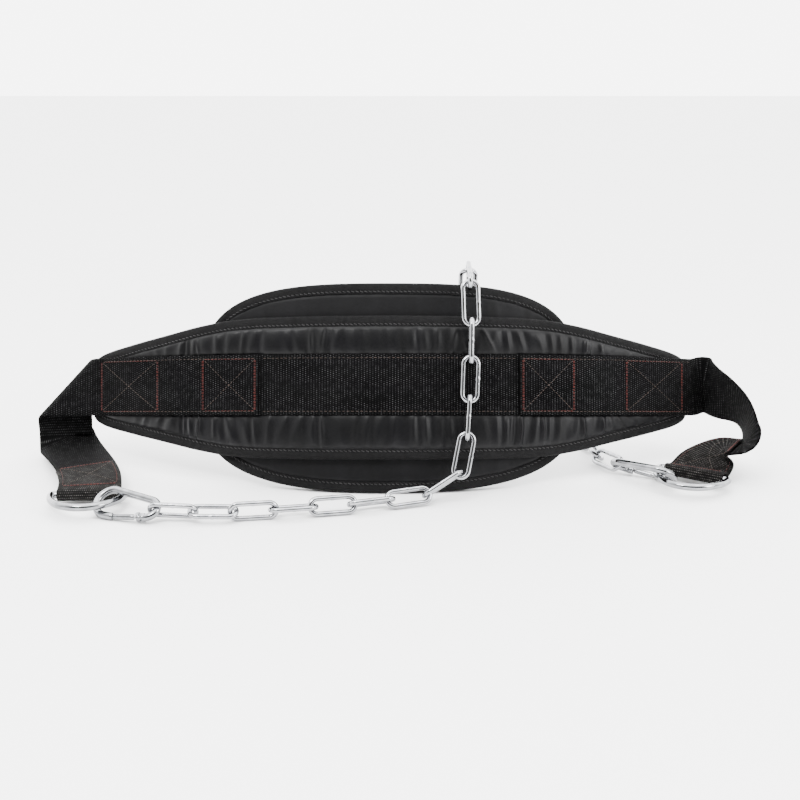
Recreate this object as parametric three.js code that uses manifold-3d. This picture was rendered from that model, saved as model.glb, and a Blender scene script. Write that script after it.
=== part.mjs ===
// Dip belt: a padded waist belt standing on the lower edge of its back pad, with its two straps,
// D-rings, spring hooks and weight chain lying on the table. Millimetres, +Z up, front towards -Y.
import * as THREE from 'three';
import { mergeVertices } from 'three/addons/utils/BufferGeometryUtils.js';
import Module from 'manifold-3d';

const wasm = await Module();
wasm.setup();

// Driving dimensions

const clearance = 0.3;

// Curve and stance of the belt
const waistRadius = 450;
const leanDeg = 18;

// Padded front panel
const panelLength = 552;
const panelHeight = 118;
const panelThickness = 6.5;
const panelCrown = 3.2;
const gatherDepth = 0.8;
const gatheredShare = 0.94;
const panelStations = 30;

// Padded back plate
const padLength = 326;
const padHeight = 172.6;
const padThickness = 9;
const padCrown = 3;
const padRoundness = 3.3;
const padStations = 22;

// Folded edge tape
const tapeWidth = 9;
const tapeWall = 1.4;

// Webbing of the band and of the straps
const webWidth = 50;
const webThickness = 1.8;
const bandRise = 2.5;
const bandLength = 530;
const strapInboard = 106;
const leftStrapReach = 260;
const rightStrapReach = 278;
const strapTail = 58;
const foldRadius = 7.5;
const foldReach = 25;
const foldAngleDeg = 46;
const foldFacing = 70;
const leftDropHandle = 14;
const leftArriveHandle = 45;

// D-rings
const ringWire = 6;
const ringInnerWidth = 53;
const ringInnerDepth = 31;

// Spring hooks
const hookLength = 60;
const hookWire = 6;
const hookWideOuter = 30;
const hookNarrowOuter = 22;
const gateWire = 4.6;
const gateGap = 0.7;
const hingePinDiameter = 2;
const hookRollDeg = 36;
const noseReach = 8;
const hingeSetback = 4;
const hingeDrop = 0.6;

// Chain links
const linkLength = 40;
const linkWidth = 16;
const linkWire = 4;
const linkCount = 26;
const linkSlack = 1;

// Where the small metal parts lie on the table, from the middle of the belt
const leftRingPlace = { x: -241, y: -45, turnDeg: 3, holdDeg: 42, barRise: 2.5 };
const rightRingPlace = { x: 255, y: -2, turnDeg: -33, holdDeg: 153, barRise: 4.2 };
const leftHookPlace = { headingDeg: -22, slip: 0 };
const rightHookPlace = { headingDeg: 144, slip: 3 };

// Chosen points of the chain's route between the two hooks, with the twist of the links there
const chainRoute = [
  { x: -152, y: -83, z: 7.9, twistDeg: 118 },
  { x: -121, y: -86, z: 7.9, twistDeg: 100 },
  { x: -90, y: -78, z: 7.9, twistDeg: 84 },
  { x: -60, y: -72, z: 7.9, twistDeg: 72 },
  { x: -29, y: -68, z: 7.9, twistDeg: 62 },
  { x: 3, y: -56, z: 7.9, twistDeg: 57 },
  { x: 35, y: -46, z: 7.9, twistDeg: 54 },
  { x: 54, y: -40, z: 12, twistDeg: 54 },
  { x: 61, y: -34, z: 34, twistDeg: 56 },
  { x: 64, y: -25, z: 54, twistDeg: 58 },
  { x: 66, y: -12, z: 91, twistDeg: 60 },
  { x: 67, y: 1, z: 128, twistDeg: 60 },
  { x: 67, y: 7, z: 147, twistDeg: 60 },
  { x: 66, y: 16, z: 170, twistDeg: 60 },
  { x: 66, y: 38, z: 176, twistDeg: 60 },
  { x: 66, y: 54, z: 162, twistDeg: 60 },
  { x: 66, y: 59, z: 130, twistDeg: 60 },
  { x: 67, y: 60, z: 70, twistDeg: 60 },
  { x: 72, y: 63, z: 34, twistDeg: 60 },
  { x: 82, y: 77, z: 14, twistDeg: 60 },
  { x: 96, y: 99, z: 8, twistDeg: 60 },
  { x: 122, y: 122, z: 7.9, twistDeg: 60 },
  { x: 154, y: 120, z: 7.9, twistDeg: 60 },
  { x: 177, y: 99, z: 7.9, twistDeg: 60 },
  { x: 181, y: 72, z: 7.9, twistDeg: 60 },
  { x: 181, y: 46, z: 8, twistDeg: 60 },
];

// Finishes

const padding = new THREE.MeshStandardMaterial({ color: 0x1f1e21, roughness: 0.45, metalness: 0 });
const padCloth = new THREE.MeshStandardMaterial({ color: 0x232326, roughness: 0.6, metalness: 0 });
const edgeTape = new THREE.MeshStandardMaterial({ color: 0x2c2c2e, roughness: 0.7, metalness: 0 });
const webbing = new THREE.MeshStandardMaterial({ color: 0x19191b, roughness: 0.75, metalness: 0 });
const brightSteel = new THREE.MeshStandardMaterial({ color: 0xd4d6d9, roughness: 0.18, metalness: 1 });
const zincSteel = new THREE.MeshStandardMaterial({ color: 0xc3c6ca, roughness: 0.28, metalness: 1 });

// Solids from rows of points

const radians = THREE.MathUtils.degToRad;
const lean = radians(leanDeg);
const xAxis = new THREE.Vector3(1, 0, 0);
const zAxis = new THREE.Vector3(0, 0, 1);
const beltUp = new THREE.Vector3(0, Math.sin(lean), Math.cos(lean));
const beltBack = new THREE.Vector3(0, Math.cos(lean), -Math.sin(lean));

function signedVolume(positions, faces) {
  let volume = 0;
  for (const [a, b, c] of faces) {
    volume += positions[a].dot(positions[b].clone().cross(positions[c])) / 6;
  }
  return volume;
}

// A closed body through rings of equal length. The first half of each ring faces its second half,
// so an end is closed by a strip between them. A ring-shaped body has its rows closed on themselves.
function loft(rings, closedRow = false) {
  const size = rings[0].length;
  const positions = rings.flat();
  const faces = [];
  const steps = closedRow ? rings.length : rings.length - 1;
  for (let row = 0; row < steps; row += 1) {
    const here = row * size;
    const next = ((row + 1) % rings.length) * size;
    for (let k = 0; k < size; k += 1) {
      const m = (k + 1) % size;
      faces.push([here + k, here + m, next + m], [here + k, next + m, next + k]);
    }
  }
  if (!closedRow) {
    const last = (rings.length - 1) * size;
    for (let k = 0; k < size / 2 - 1; k += 1) {
      const far = size - 1 - k;
      faces.push([k, far, far - 1], [k, far - 1, k + 1]);
      faces.push([last + k, last + far - 1, last + far], [last + k, last + k + 1, last + far - 1]);
    }
  }
  if (signedVolume(positions, faces) < 0) {
    faces.forEach((face) => face.reverse());
  }
  const geometry = new THREE.BufferGeometry();
  geometry.setAttribute('position', new THREE.Float32BufferAttribute(positions.flatMap((p) => p.toArray()), 3));
  geometry.setIndex(faces.flat());
  return geometry;
}

function toManifold(geometry) {
  const bare = geometry.clone();
  bare.deleteAttribute('normal');
  bare.deleteAttribute('uv');
  const merged = mergeVertices(bare, 1e-4);
  return new wasm.Manifold(new wasm.Mesh({
    numProp: 3,
    vertProperties: new Float32Array(merged.attributes.position.array),
    triVerts: new Uint32Array(merged.index.array),
  }));
}

function fromManifold(solid) {
  const mesh = solid.getMesh();
  const geometry = new THREE.BufferGeometry();
  geometry.setAttribute('position', new THREE.Float32BufferAttribute(mesh.vertProperties, 3));
  geometry.setIndex([...mesh.triVerts]);
  return geometry;
}

function named(name, geometry, material) {
  geometry.computeVertexNormals();
  const mesh = new THREE.Mesh(geometry, material);
  mesh.name = name;
  return mesh;
}

// Belt surface: u along the belt, v up it, w outwards from the back of the panel

function sag(u, w = 0) {
  return waistRadius - (waistRadius + w) * Math.cos(u / waistRadius);
}

function onBelt(u, v, w) {
  return new THREE.Vector3()
    .addScaledVector(xAxis, (waistRadius + w) * Math.sin(u / waistRadius))
    .addScaledVector(beltBack, sag(u, w))
    .addScaledVector(beltUp, v);
}

function beltTangent(u) {
  return xAxis.clone().multiplyScalar(Math.cos(u / waistRadius))
    .addScaledVector(beltBack, Math.sin(u / waistRadius));
}

function beltOutward(u) {
  return xAxis.clone().multiplyScalar(Math.sin(u / waistRadius))
    .addScaledVector(beltBack, -Math.cos(u / waistRadius));
}

// Outlines, as matching points along the upper and the lower edge from left to right

const panelShape = [
  { along: 0, height: 1 },
  { along: 0.4, height: 0.985 },
  { along: 0.5, height: 0.955 },
  { along: 0.6, height: 0.87 },
  { along: 0.7, height: 0.77 },
  { along: 0.8, height: 0.68 },
  { along: 0.93, height: 0.56 },
  { along: 0.97, height: 0.5 },
  { along: 1, height: 0.42 },
];

function panelHalfHeight(along) {
  const k = Math.max(1, panelShape.findIndex((row) => row.along >= along - 1e-9));
  const low = panelShape[k - 1];
  const high = panelShape[k];
  const share = (along - low.along) / (high.along - low.along);
  return THREE.MathUtils.lerp(low.height, high.height, share) * panelHeight / 2;
}

function panelOutline() {
  const upper = [];
  const lower = [];
  const cornerShares = [0.97, 1];
  const inner = gatheredShare;
  for (let k = 0; k <= panelStations; k += 1) {
    const along = (2 * k / panelStations - 1) * inner;
    upper.push([along, panelHalfHeight(Math.abs(along))]);
  }
  for (const share of cornerShares) {
    upper.unshift([-share, panelHalfHeight(share)]);
    upper.push([share, panelHalfHeight(share)]);
  }
  for (const point of upper) {
    point[0] *= panelLength / 2;
    lower.push([point[0], -point[1]]);
  }
  return { upper, lower };
}

// The pad's lower edge is squashed straight by its own weight on the table
function padOutline() {
  const upper = [];
  const lower = [];
  const endAngle = radians(14);
  for (let k = 0; k <= padStations; k += 1) {
    const angle = THREE.MathUtils.lerp(Math.PI - endAngle, endAngle, k / padStations);
    const across = Math.cos(angle);
    const u = Math.sign(across) * Math.abs(across) ** (2 / padRoundness) * padLength / 2;
    const v = Math.sin(angle) ** (2 / padRoundness) * padHeight / 2;
    upper.push([u, v]);
    lower.push([u, -v + sag(u) * Math.tan(lean) * Math.sin(angle)]);
  }
  return { upper, lower };
}

// Inward mitred normals of an outline, for its upper and its lower points
function inwardNormals({ upper, lower }) {
  const loop = [...upper, ...[...lower].reverse()];
  const count = loop.length;
  const edgeNormal = (a, b) => {
    const length = Math.hypot(b[0] - a[0], b[1] - a[1]);
    return [(b[1] - a[1]) / length, -(b[0] - a[0]) / length];
  };
  const normals = loop.map((point, k) => {
    const before = edgeNormal(loop[(k + count - 1) % count], point);
    const after = edgeNormal(point, loop[(k + 1) % count]);
    const sum = [before[0] + after[0], before[1] + after[1]];
    const scale = 2 / (sum[0] ** 2 + sum[1] ** 2);
    return [sum[0] * scale, sum[1] * scale];
  });
  return {
    loop,
    normals,
    upper: normals.slice(0, upper.length),
    lower: normals.slice(upper.length).reverse(),
  };
}

function inset(point, normal, distance) {
  return [point[0] + normal[0] * distance, point[1] + normal[1] * distance];
}

// Padded bodies and their edge tapes

// The body is thin where the tape grips it and full inside: rim gives its two heights under the tape
function paddedBody(outline, rim, innerShares, front, back) {
  const facing = inwardNormals(outline);
  const gripped = [tapeWall + 1.5 * clearance, tapeWidth + clearance];
  const open = tapeWidth + 2 * clearance;
  const rings = outline.upper.map((top, k) => {
    const bottom = outline.lower[k];
    const topNormal = facing.upper[k];
    const bottomNormal = facing.lower[k];
    const side = (rimHeight, surface) => {
      const row = [];
      for (const distance of gripped) {
        row.push(onBelt(...inset(top, topNormal, distance), rimHeight));
      }
      const from = inset(top, topNormal, open);
      const to = inset(bottom, bottomNormal, open);
      for (const share of innerShares(from[1], to[1])) {
        const u = THREE.MathUtils.lerp(from[0], to[0], share);
        const v = THREE.MathUtils.lerp(from[1], to[1], share);
        row.push(onBelt(u, v, surface(u, v, from[1], to[1])));
      }
      for (const distance of [...gripped].reverse()) {
        row.push(onBelt(...inset(bottom, bottomNormal, distance), rimHeight));
      }
      return row;
    };
    return [...side(rim.front, front), ...side(rim.back, back).reverse()];
  });
  return loft(rings);
}

function edgeTapeBody(outline, frontHeight, backHeight) {
  const facing = inwardNormals(outline);
  const shoulder = 1.2;
  const profile = [
    [tapeWidth, frontHeight],
    [shoulder, frontHeight],
    [0, frontHeight - shoulder],
    [0, backHeight + shoulder],
    [shoulder, backHeight],
    [tapeWidth, backHeight],
    [tapeWidth, backHeight + tapeWall],
    [tapeWall, backHeight + tapeWall],
    [tapeWall, frontHeight - tapeWall],
    [tapeWidth, frontHeight - tapeWall],
  ];
  const rings = facing.loop.map((point, k) => (
    profile.map(([distance, w]) => onBelt(...inset(point, facing.normals[k], distance), w))
  ));
  return loft(rings, true);
}

const gripDepth = tapeWall + 1.2 * clearance;
const panelEdges = panelOutline();
const padEdges = padOutline();
const padFront = -clearance;
const padBack = padFront - padThickness;
const bandHalf = webWidth / 2;
const gatherWave = 2 * (panelLength * gatheredShare) / panelStations;

// Rows of the panel: full between the tape and the band, flat under the band
function panelShares(top, bottom) {
  const bandTop = Math.min(bandRise + bandHalf + 1, top - 3);
  const bandBottom = Math.max(bandRise - bandHalf - 1, bottom + 3);
  const share = (v) => (v - top) / (bottom - top);
  const between = (a, b, t) => share(THREE.MathUtils.lerp(a, b, t));
  return [0, between(top, bandTop, 0.35), between(top, bandTop, 0.75), share(bandTop),
    share(bandBottom), between(bandBottom, bottom, 0.25), between(bandBottom, bottom, 0.65), 1];
}

function panelFront(u, v, top, bottom) {
  const limit = v > bandRise ? top : bottom;
  const edge = v > bandRise ? bandRise + bandHalf + 1 : bandRise - bandHalf - 1;
  const room = Math.abs(limit) - Math.abs(edge);
  const across = THREE.MathUtils.clamp((v - edge) / (limit - edge), 0, 1);
  if (room < 3) {
    return panelThickness - 0.4;
  }
  const fullness = Math.sin(Math.PI * across) * Math.min(1, room / 20);
  const gather = gatherDepth * Math.cos(2 * Math.PI * u / gatherWave);
  return panelThickness - 0.4 + fullness * (panelCrown + gather);
}

const panelBody = paddedBody(
  panelEdges,
  { front: panelThickness - gripDepth, back: gripDepth },
  panelShares,
  panelFront,
  () => 0,
);

const padShares = () => [0, 0.12, 0.3, 0.5, 0.7, 0.88, 1];

function padRear(u, v, top, bottom) {
  const across = THREE.MathUtils.clamp((v - bottom) / (top - bottom), 0, 1);
  const along = Math.min(1, 2.4 * (1 - Math.abs(u) / (padLength / 2)));
  return padBack - padCrown * Math.sin(Math.PI * across) ** 0.6 * Math.max(0, along);
}

const padBody = paddedBody(
  padEdges,
  { front: padFront - gripDepth, back: padBack + gripDepth },
  padShares,
  () => padFront,
  padRear,
);

const panelTape = edgeTapeBody(panelEdges, panelThickness, 0);
const padTape = edgeTapeBody(padEdges, padFront, padBack);

// The belt's height over the table: its lowest edge is pressed flat by footPress
const footPress = 0.9;
const lowest = new THREE.Box3().setFromBufferAttribute(padTape.getAttribute('position')).min.z;
const rise = -lowest - footPress;
const raised = new THREE.Vector3(0, 0, rise);

function flattenedFoot(geometry) {
  const table = new THREE.BoxGeometry(padLength, padHeight, 20);
  table.translate(0, 0, -rise - 10);
  return fromManifold(toManifold(geometry).subtract(toManifold(table)));
}

// Webbing: a ribbon through stations that give its two edges and the way its outer face looks

function ribbon(stations, thickness = webThickness) {
  return loft(stations.map(({ low, high, face }) => {
    const half = face.clone().multiplyScalar(thickness / 2);
    return [low.clone().add(half), high.clone().add(half), high.clone().sub(half), low.clone().sub(half)];
  }));
}

const bandHeight = panelThickness + clearance + webThickness / 2;
const strapHeight = bandHeight + webThickness + clearance;

function beltStation(u, w) {
  return {
    low: onBelt(u, bandRise - bandHalf, w).add(raised),
    high: onBelt(u, bandRise + bandHalf, w).add(raised),
    face: beltOutward(u),
  };
}

function bandBody() {
  const stations = [];
  for (let k = 0; k <= panelStations; k += 1) {
    stations.push(beltStation((k / panelStations - 0.5) * bandLength, bandHeight));
  }
  return ribbon(stations);
}

// Stretch of a strap that lies on the band, from its cut end to the panel's tip
function strapRoot(side, reach) {
  const stations = [];
  const steps = 14;
  for (let k = 0; k <= steps; k += 1) {
    const u = THREE.MathUtils.lerp(strapInboard, reach, k / steps);
    stations.push(beltStation(side * u, strapHeight));
  }
  return stations;
}

function centre(station) {
  return station.low.clone().lerp(station.high, 0.5);
}

// A station from a middle point, the way along the strap, the way across it and its side of the belt
function station(middle, along, across, beltSide) {
  const side = across.clone().addScaledVector(along, -across.dot(along)).normalize();
  return {
    low: middle.clone().addScaledVector(side, -bandHalf),
    high: middle.clone().addScaledVector(side, bandHalf),
    face: new THREE.Vector3().crossVectors(side, along).multiplyScalar(-beltSide).normalize(),
  };
}

const loopRadius = ringWire / 2 + clearance + webThickness / 2;

// D-ring frame: bar along its width, bow forwards, tilted so that the bow clears a hook's arm
const ringBarHalf = ringInnerWidth / 2 + ringWire / 2;
const ringDepth = ringInnerDepth + ringWire;
const ringBarHeight = ringWire / 2 + clearance + webThickness + 0.2;
const hookHalfWide = (hookWideOuter - hookWire) / 2;
const hookHalfNarrow = (hookNarrowOuter - hookWire) / 2;
const hookRoll = radians(hookRollDeg);
const hookHeight = hookWire / 2 + hookHalfWide * Math.sin(hookRoll);

function ringFrame(place) {
  const turn = radians(place.turnDeg);
  const across = new THREE.Vector3(Math.cos(turn), Math.sin(turn), 0);
  const level = new THREE.Vector3(Math.sin(turn), -Math.cos(turn), 0);
  const hold = radians(place.holdDeg);
  const barHeight = ringBarHeight + place.barRise;
  const lift = Math.min(0.6, (hookHeight - barHeight) / (ringDepth * Math.sin(hold)));
  const forward = level.clone().multiplyScalar(Math.cos(Math.asin(lift))).addScaledVector(zAxis, lift);
  const bar = new THREE.Vector3(place.x, place.y, barHeight);
  const point = (angle) => bar.clone()
    .addScaledVector(across, ringBarHalf * Math.cos(angle))
    .addScaledVector(forward, ringDepth * Math.sin(angle));
  return { bar, across, forward, hold: point(hold), point };
}

function wireSection(middle, first, second, radius, sides) {
  const ring = [];
  for (let k = 0; k < sides; k += 1) {
    const angle = 2 * Math.PI * (k + 0.5) / sides;
    ring.push(middle.clone()
      .addScaledVector(first, radius * Math.cos(angle))
      .addScaledVector(second, radius * Math.sin(angle)));
  }
  return ring;
}

// A closed wire through points that lie in one plane
function wireLoop(points, planeNormal, diameter, sides) {
  const count = points.length;
  return loft(points.map((point, k) => {
    const before = point.clone().sub(points[(k + count - 1) % count]).normalize();
    const after = points[(k + 1) % count].clone().sub(point).normalize();
    const along = before.clone().add(after).normalize();
    const outward = along.clone().cross(planeNormal).normalize();
    const mitre = 1 / Math.max(0.5, along.dot(after));
    const ring = wireSection(new THREE.Vector3(), outward, planeNormal, diameter / 2, sides);
    return ring.map((p) => point.clone().add(p).addScaledVector(outward, p.dot(outward) * (mitre - 1)));
  }), true);
}

function ringBody(frame) {
  const bowSteps = 16;
  const points = [];
  for (let k = 0; k <= bowSteps; k += 1) {
    points.push(frame.point(Math.PI * k / bowSteps));
  }
  const cornerShare = 0.9;
  points[0].lerp(points[1], 1 - cornerShare);
  points[bowSteps].lerp(points[bowSteps - 1], 1 - cornerShare);
  for (const share of [-0.93, -0.6, 0, 0.6, 0.93]) {
    points.push(frame.bar.clone().addScaledVector(frame.across, share * ringBarHalf));
  }
  const planeNormal = frame.across.clone().cross(frame.forward).normalize();
  return wireLoop(points, planeNormal, ringWire, 8);
}

const leftRing = ringFrame(leftRingPlace);
const rightRing = ringFrame(rightRingPlace);

// The loop of a strap round the D-ring's bar, and its tail sewn back on the strap.
function loopAndTail(stations) {
  const last = stations[stations.length - 1];
  const along = centre(last).sub(centre(stations[stations.length - 2])).normalize();
  const faceOut = last.face;
  const radius = loopRadius;
  const loops = [];
  const arcSteps = 8;
  for (let k = 1; k <= arcSteps; k += 1) {
    const angle = Math.PI * k / arcSteps;
    const shift = along.clone().multiplyScalar(radius * Math.sin(angle))
      .addScaledVector(faceOut, radius * (1 - Math.cos(angle)));
    loops.push({
      low: last.low.clone().add(shift),
      high: last.high.clone().add(shift),
      face: last.face.clone().multiplyScalar(Math.cos(angle)).addScaledVector(along, -Math.sin(angle)),
    });
  }
  const tail = [];
  const sewnOffset = webThickness + clearance;
  const closing = 16;
  let travelled = 0;
  for (let k = stations.length - 2; k > 0 && travelled < strapTail; k -= 1) {
    travelled += centre(stations[k]).distanceTo(centre(stations[k + 1]));
    const ease = THREE.MathUtils.smoothstep(travelled, 0, closing);
    const offset = THREE.MathUtils.lerp(2 * radius, sewnOffset, ease);
    const lift = stations[k].face.clone().multiplyScalar(offset);
    tail.push({
      low: stations[k].low.clone().add(lift),
      high: stations[k].high.clone().add(lift),
      face: stations[k].face.clone().negate(),
    });
  }
  return [...stations, ...loops, ...tail];
}

// Left strap: folded back on itself along a slanting line past the panel's tip, then down to its ring
function leftStrapBody() {
  const stations = strapRoot(-1, leftStrapReach);
  const tip = stations[stations.length - 1];
  const along = beltTangent(-foldFacing).negate();
  const outward = beltOutward(-foldFacing);
  const up = beltUp;
  const angle = radians(foldAngleDeg);
  const foldLine = along.clone().multiplyScalar(Math.cos(angle)).addScaledVector(up, -Math.sin(angle));
  const acrossFold = along.clone().multiplyScalar(Math.sin(angle)).addScaledVector(up, Math.cos(angle));
  const foldMiddle = centre(tip).addScaledVector(along, foldReach);
  const onStrap = (a, b) => {
    const line = Math.cos(angle) * a - Math.sin(angle) * b;
    const past = Math.sin(angle) * a + Math.cos(angle) * b;
    const turn = THREE.MathUtils.clamp(past / foldRadius, 0, Math.PI);
    const beyond = Math.max(0, past - Math.PI * foldRadius);
    const before = Math.min(0, past);
    return foldMiddle.clone().addScaledVector(foldLine, line)
      .addScaledVector(acrossFold, before + foldRadius * Math.sin(turn) - beyond)
      .addScaledVector(outward, -foldRadius * (1 - Math.cos(turn)));
  };
  const slant = bandHalf / Math.tan(angle);
  const foldSteps = 8;
  const slanted = (a) => ({ low: [a + slant, -bandHalf], high: [a - slant, bandHalf] });
  const foldLength = Math.PI * foldRadius / Math.sin(angle);
  for (let k = 0; k <= foldSteps; k += 1) {
    const edge = slanted(foldLength * k / foldSteps);
    const turn = Math.PI * k / foldSteps;
    stations.push({
      low: onStrap(...edge.low),
      high: onStrap(...edge.high),
      face: outward.clone().multiplyScalar(Math.cos(turn)).addScaledVector(acrossFold, Math.sin(turn)),
    });
  }
  const clear = foldLength + slant + 2;
  const leave = { low: onStrap(clear, -bandHalf), high: onStrap(clear, bandHalf), face: outward.clone().negate() };
  stations.push(leave);
  const start = centre(leave);
  const down = onStrap(clear + 1, 0).sub(onStrap(clear, 0)).normalize();
  const arrive = leftRing.forward.clone().setZ(-0.1).normalize();
  const end = leftRing.bar.clone().addScaledVector(leftRing.across.clone().cross(arrive), -loopRadius);
  const curve = new THREE.CubicBezierCurve3(
    start,
    start.clone().addScaledVector(down, leftDropHandle),
    end.clone().addScaledVector(arrive, -leftArriveHandle),
    end,
  );
  const startAcross = leave.high.clone().sub(leave.low).normalize();
  const curveSteps = 16;
  for (let k = 1; k <= curveSteps; k += 1) {
    const share = k / curveSteps;
    const across = startAcross.clone().lerp(leftRing.across, THREE.MathUtils.smoothstep(share, 0, 1)).normalize();
    stations.push(station(curve.getPoint(share), curve.getTangent(share), across, -1));
  }
  return ribbon(loopAndTail(stations));
}

// Right strap: twists outwards past the panel's tip and comes back to its ring, outer face up
const rightStrapTurn = [
  { x: 278, y: 79, z: 63, acrossX: 0, acrossY: 0.2, acrossZ: 0.97 },
  { x: 285, y: 64, z: 61, acrossX: -0.05, acrossY: -0.2, acrossZ: 0.98 },
  { x: 294, y: 50, z: 58.5, acrossX: -0.08, acrossY: -0.5, acrossZ: 0.86 },
  { x: 302, y: 39, z: 53, acrossX: -0.07, acrossY: -0.7, acrossZ: 0.71 },
  { x: 306, y: 30, z: 45, acrossX: -0.05, acrossY: -0.81, acrossZ: 0.59 },
  { x: 306.5, y: 23, z: 36, acrossX: 0, acrossY: -0.89, acrossZ: 0.46 },
  { x: 302, y: 17.5, z: 28, acrossX: 0.1, acrossY: -0.94, acrossZ: 0.33 },
  { x: 284, y: 24, z: 20, acrossX: 0.5, acrossY: -0.84, acrossZ: 0.2 },
];

function rightStrapBody() {
  const stations = strapRoot(1, rightStrapReach);
  const tip = stations[stations.length - 1];
  const end = rightRing.bar.clone().addScaledVector(zAxis, -loopRadius);
  const level = rightRing.forward.clone().setZ(0).normalize();
  const middles = [
    centre(stations[stations.length - 2]),
    centre(tip),
    ...rightStrapTurn.map(({ x, y, z }) => new THREE.Vector3(x, y, z)),
    end.clone().addScaledVector(level, -18).addScaledVector(zAxis, 3.5),
    end,
  ];
  const across = [
    beltUp,
    beltUp,
    ...rightStrapTurn.map((row) => new THREE.Vector3(row.acrossX, row.acrossY, row.acrossZ)),
    rightRing.across,
    rightRing.across,
  ];
  const path = new THREE.CatmullRomCurve3(middles, false, 'centripetal');
  const ways = new THREE.CatmullRomCurve3(across, false, 'centripetal');
  const steps = 34;
  const first = 1 / (middles.length - 1);
  for (let k = 1; k <= steps; k += 1) {
    const share = THREE.MathUtils.lerp(first, 1, k / steps);
    stations.push(station(path.getPoint(share), path.getTangent(share), ways.getPoint(share), 1));
  }
  return ribbon(loopAndTail(stations));
}

// Spring hook in its own plane: wide end at -X over the ring, narrow end at +X over the chain,
// gate along the side at -Y, hinged near the narrow end

const wideCentre = -(hookLength - hookWire) / 2 + hookHalfWide;
const narrowCentre = (hookLength - hookWire) / 2 - hookHalfNarrow;
const hinge = new THREE.Vector2(narrowCentre - hingeSetback, -hookHalfNarrow - hingeDrop);
const gateEye = 3.1;
const nose = new THREE.Vector2(wideCentre + noseReach, -hookHalfWide);
const gateAlong = nose.clone().sub(hinge).normalize();
const gateReach = nose.distanceTo(hinge);
const gateEyeThickness = 2.6;
const earThickness = 1.4;

function rod(from, to, diameter, sides = 8) {
  const path = new THREE.LineCurve3(from, to);
  const section = new THREE.Shape();
  for (let k = 0; k < sides; k += 1) {
    const angle = 2 * Math.PI * k / sides;
    const x = Math.cos(angle) * diameter / 2;
    const y = Math.sin(angle) * diameter / 2;
    if (k === 0) {
      section.moveTo(x, y);
    } else {
      section.lineTo(x, y);
    }
  }
  return new THREE.ExtrudeGeometry(section, { extrudePath: path, steps: 1, bevelEnabled: false });
}

function disc(middle, diameter, thickness, sides = 12) {
  const half = new THREE.Vector3(0, 0, thickness / 2);
  const place = new THREE.Vector3(middle.x, middle.y, 0);
  return rod(place.clone().sub(half), place.clone().add(half), diameter, sides);
}

function arcPoints(middleX, radius, fromDeg, toDeg, steps) {
  const points = [];
  for (let k = 0; k <= steps; k += 1) {
    const angle = radians(THREE.MathUtils.lerp(fromDeg, toDeg, k / steps));
    points.push(new THREE.Vector3(middleX + radius * Math.cos(angle), radius * Math.sin(angle), 0));
  }
  return points;
}

function hookBody() {
  const lineEnd = new THREE.Vector3(hinge.x + gateEye + clearance, -hookHalfNarrow - 0.2, 0);
  const points = [
    lineEnd,
    ...arcPoints(narrowCentre, hookHalfNarrow, -84, 86, 8),
    ...arcPoints(wideCentre, hookHalfWide, 94, 264, 9),
    new THREE.Vector3(nose.x, nose.y, 0),
  ];
  const rings = points.map((point, k) => {
    const before = points[Math.max(0, k - 1)];
    const after = points[Math.min(points.length - 1, k + 1)];
    const along = after.clone().sub(before).normalize();
    return wireSection(point, along.clone().cross(zAxis), zAxis, hookWire / 2, 8);
  });
  let solid = toManifold(loft(rings));
  const earHeight = gateEyeThickness / 2 + clearance + earThickness / 2;
  for (const sign of [-1, 1]) {
    const ear = disc(hinge, 2 * gateEye, earThickness);
    ear.translate(0, 0, sign * earHeight);
    const strip = new THREE.BoxGeometry(gateEye + 3, hookWire - 1.2, earThickness);
    strip.translate(hinge.x + gateEye / 2 + 1.4, hinge.y + 0.2, sign * earHeight);
    solid = solid.add(toManifold(ear)).add(toManifold(strip));
  }
  solid = solid.add(toManifold(disc(hinge, hingePinDiameter, 2 * earHeight + earThickness, 8)));
  return fromManifold(solid);
}

function gateBody() {
  const eye = toManifold(disc(hinge, 2 * gateEye - 0.4, gateEyeThickness));
  const from = new THREE.Vector3(hinge.x, hinge.y, 0);
  const along = new THREE.Vector3(gateAlong.x, gateAlong.y, 0);
  const start = from.clone().addScaledVector(along, gateEye + clearance);
  const end = from.clone().addScaledVector(along, gateReach - gateGap);
  const bar = toManifold(rod(start, end, gateWire));
  const neck = toManifold(rod(from, start.clone().addScaledVector(along, 1), gateEyeThickness - 0.2, 6));
  const hole = toManifold(disc(hinge, hingePinDiameter + 2 * clearance, 10, 8));
  return fromManifold(eye.add(neck).add(bar).subtract(hole));
}

// Frame of a hook on the table: long way level, rolled so that its gate side lies down
function hookFrame(ring, place) {
  const heading = radians(place.headingDeg);
  const along = new THREE.Vector3(Math.cos(heading), Math.sin(heading), 0);
  const level = zAxis.clone().cross(along);
  const upward = level.clone().multiplyScalar(Math.cos(hookRoll)).addScaledVector(zAxis, Math.sin(hookRoll));
  const normal = along.clone().cross(upward);
  const middle = ring.hold.clone().addScaledVector(along, -wideCentre - place.slip);
  middle.z = hookHeight;
  const matrix = new THREE.Matrix4().makeBasis(along, upward, normal).setPosition(middle);
  const chainEnd = middle.clone().addScaledVector(along, (hookLength - hookWire) / 2
    - (hookWire + linkWire) / 2 - clearance - linkSlack / 2 + (linkWire + linkSlack) / 2);
  return { matrix, along, chainEnd };
}

const leftHook = hookFrame(leftRing, leftHookPlace);
const rightHook = hookFrame(rightRing, rightHookPlace);

function placedHook(name, frame) {
  const group = new THREE.Group();
  frame.matrix.decompose(group.position, group.quaternion, group.scale);
  group.add(named(`${name}_hook`, hookBody(), brightSteel));
  group.add(named(`${name}_gate`, gateBody(), brightSteel));
  return group;
}

// Chain

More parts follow.
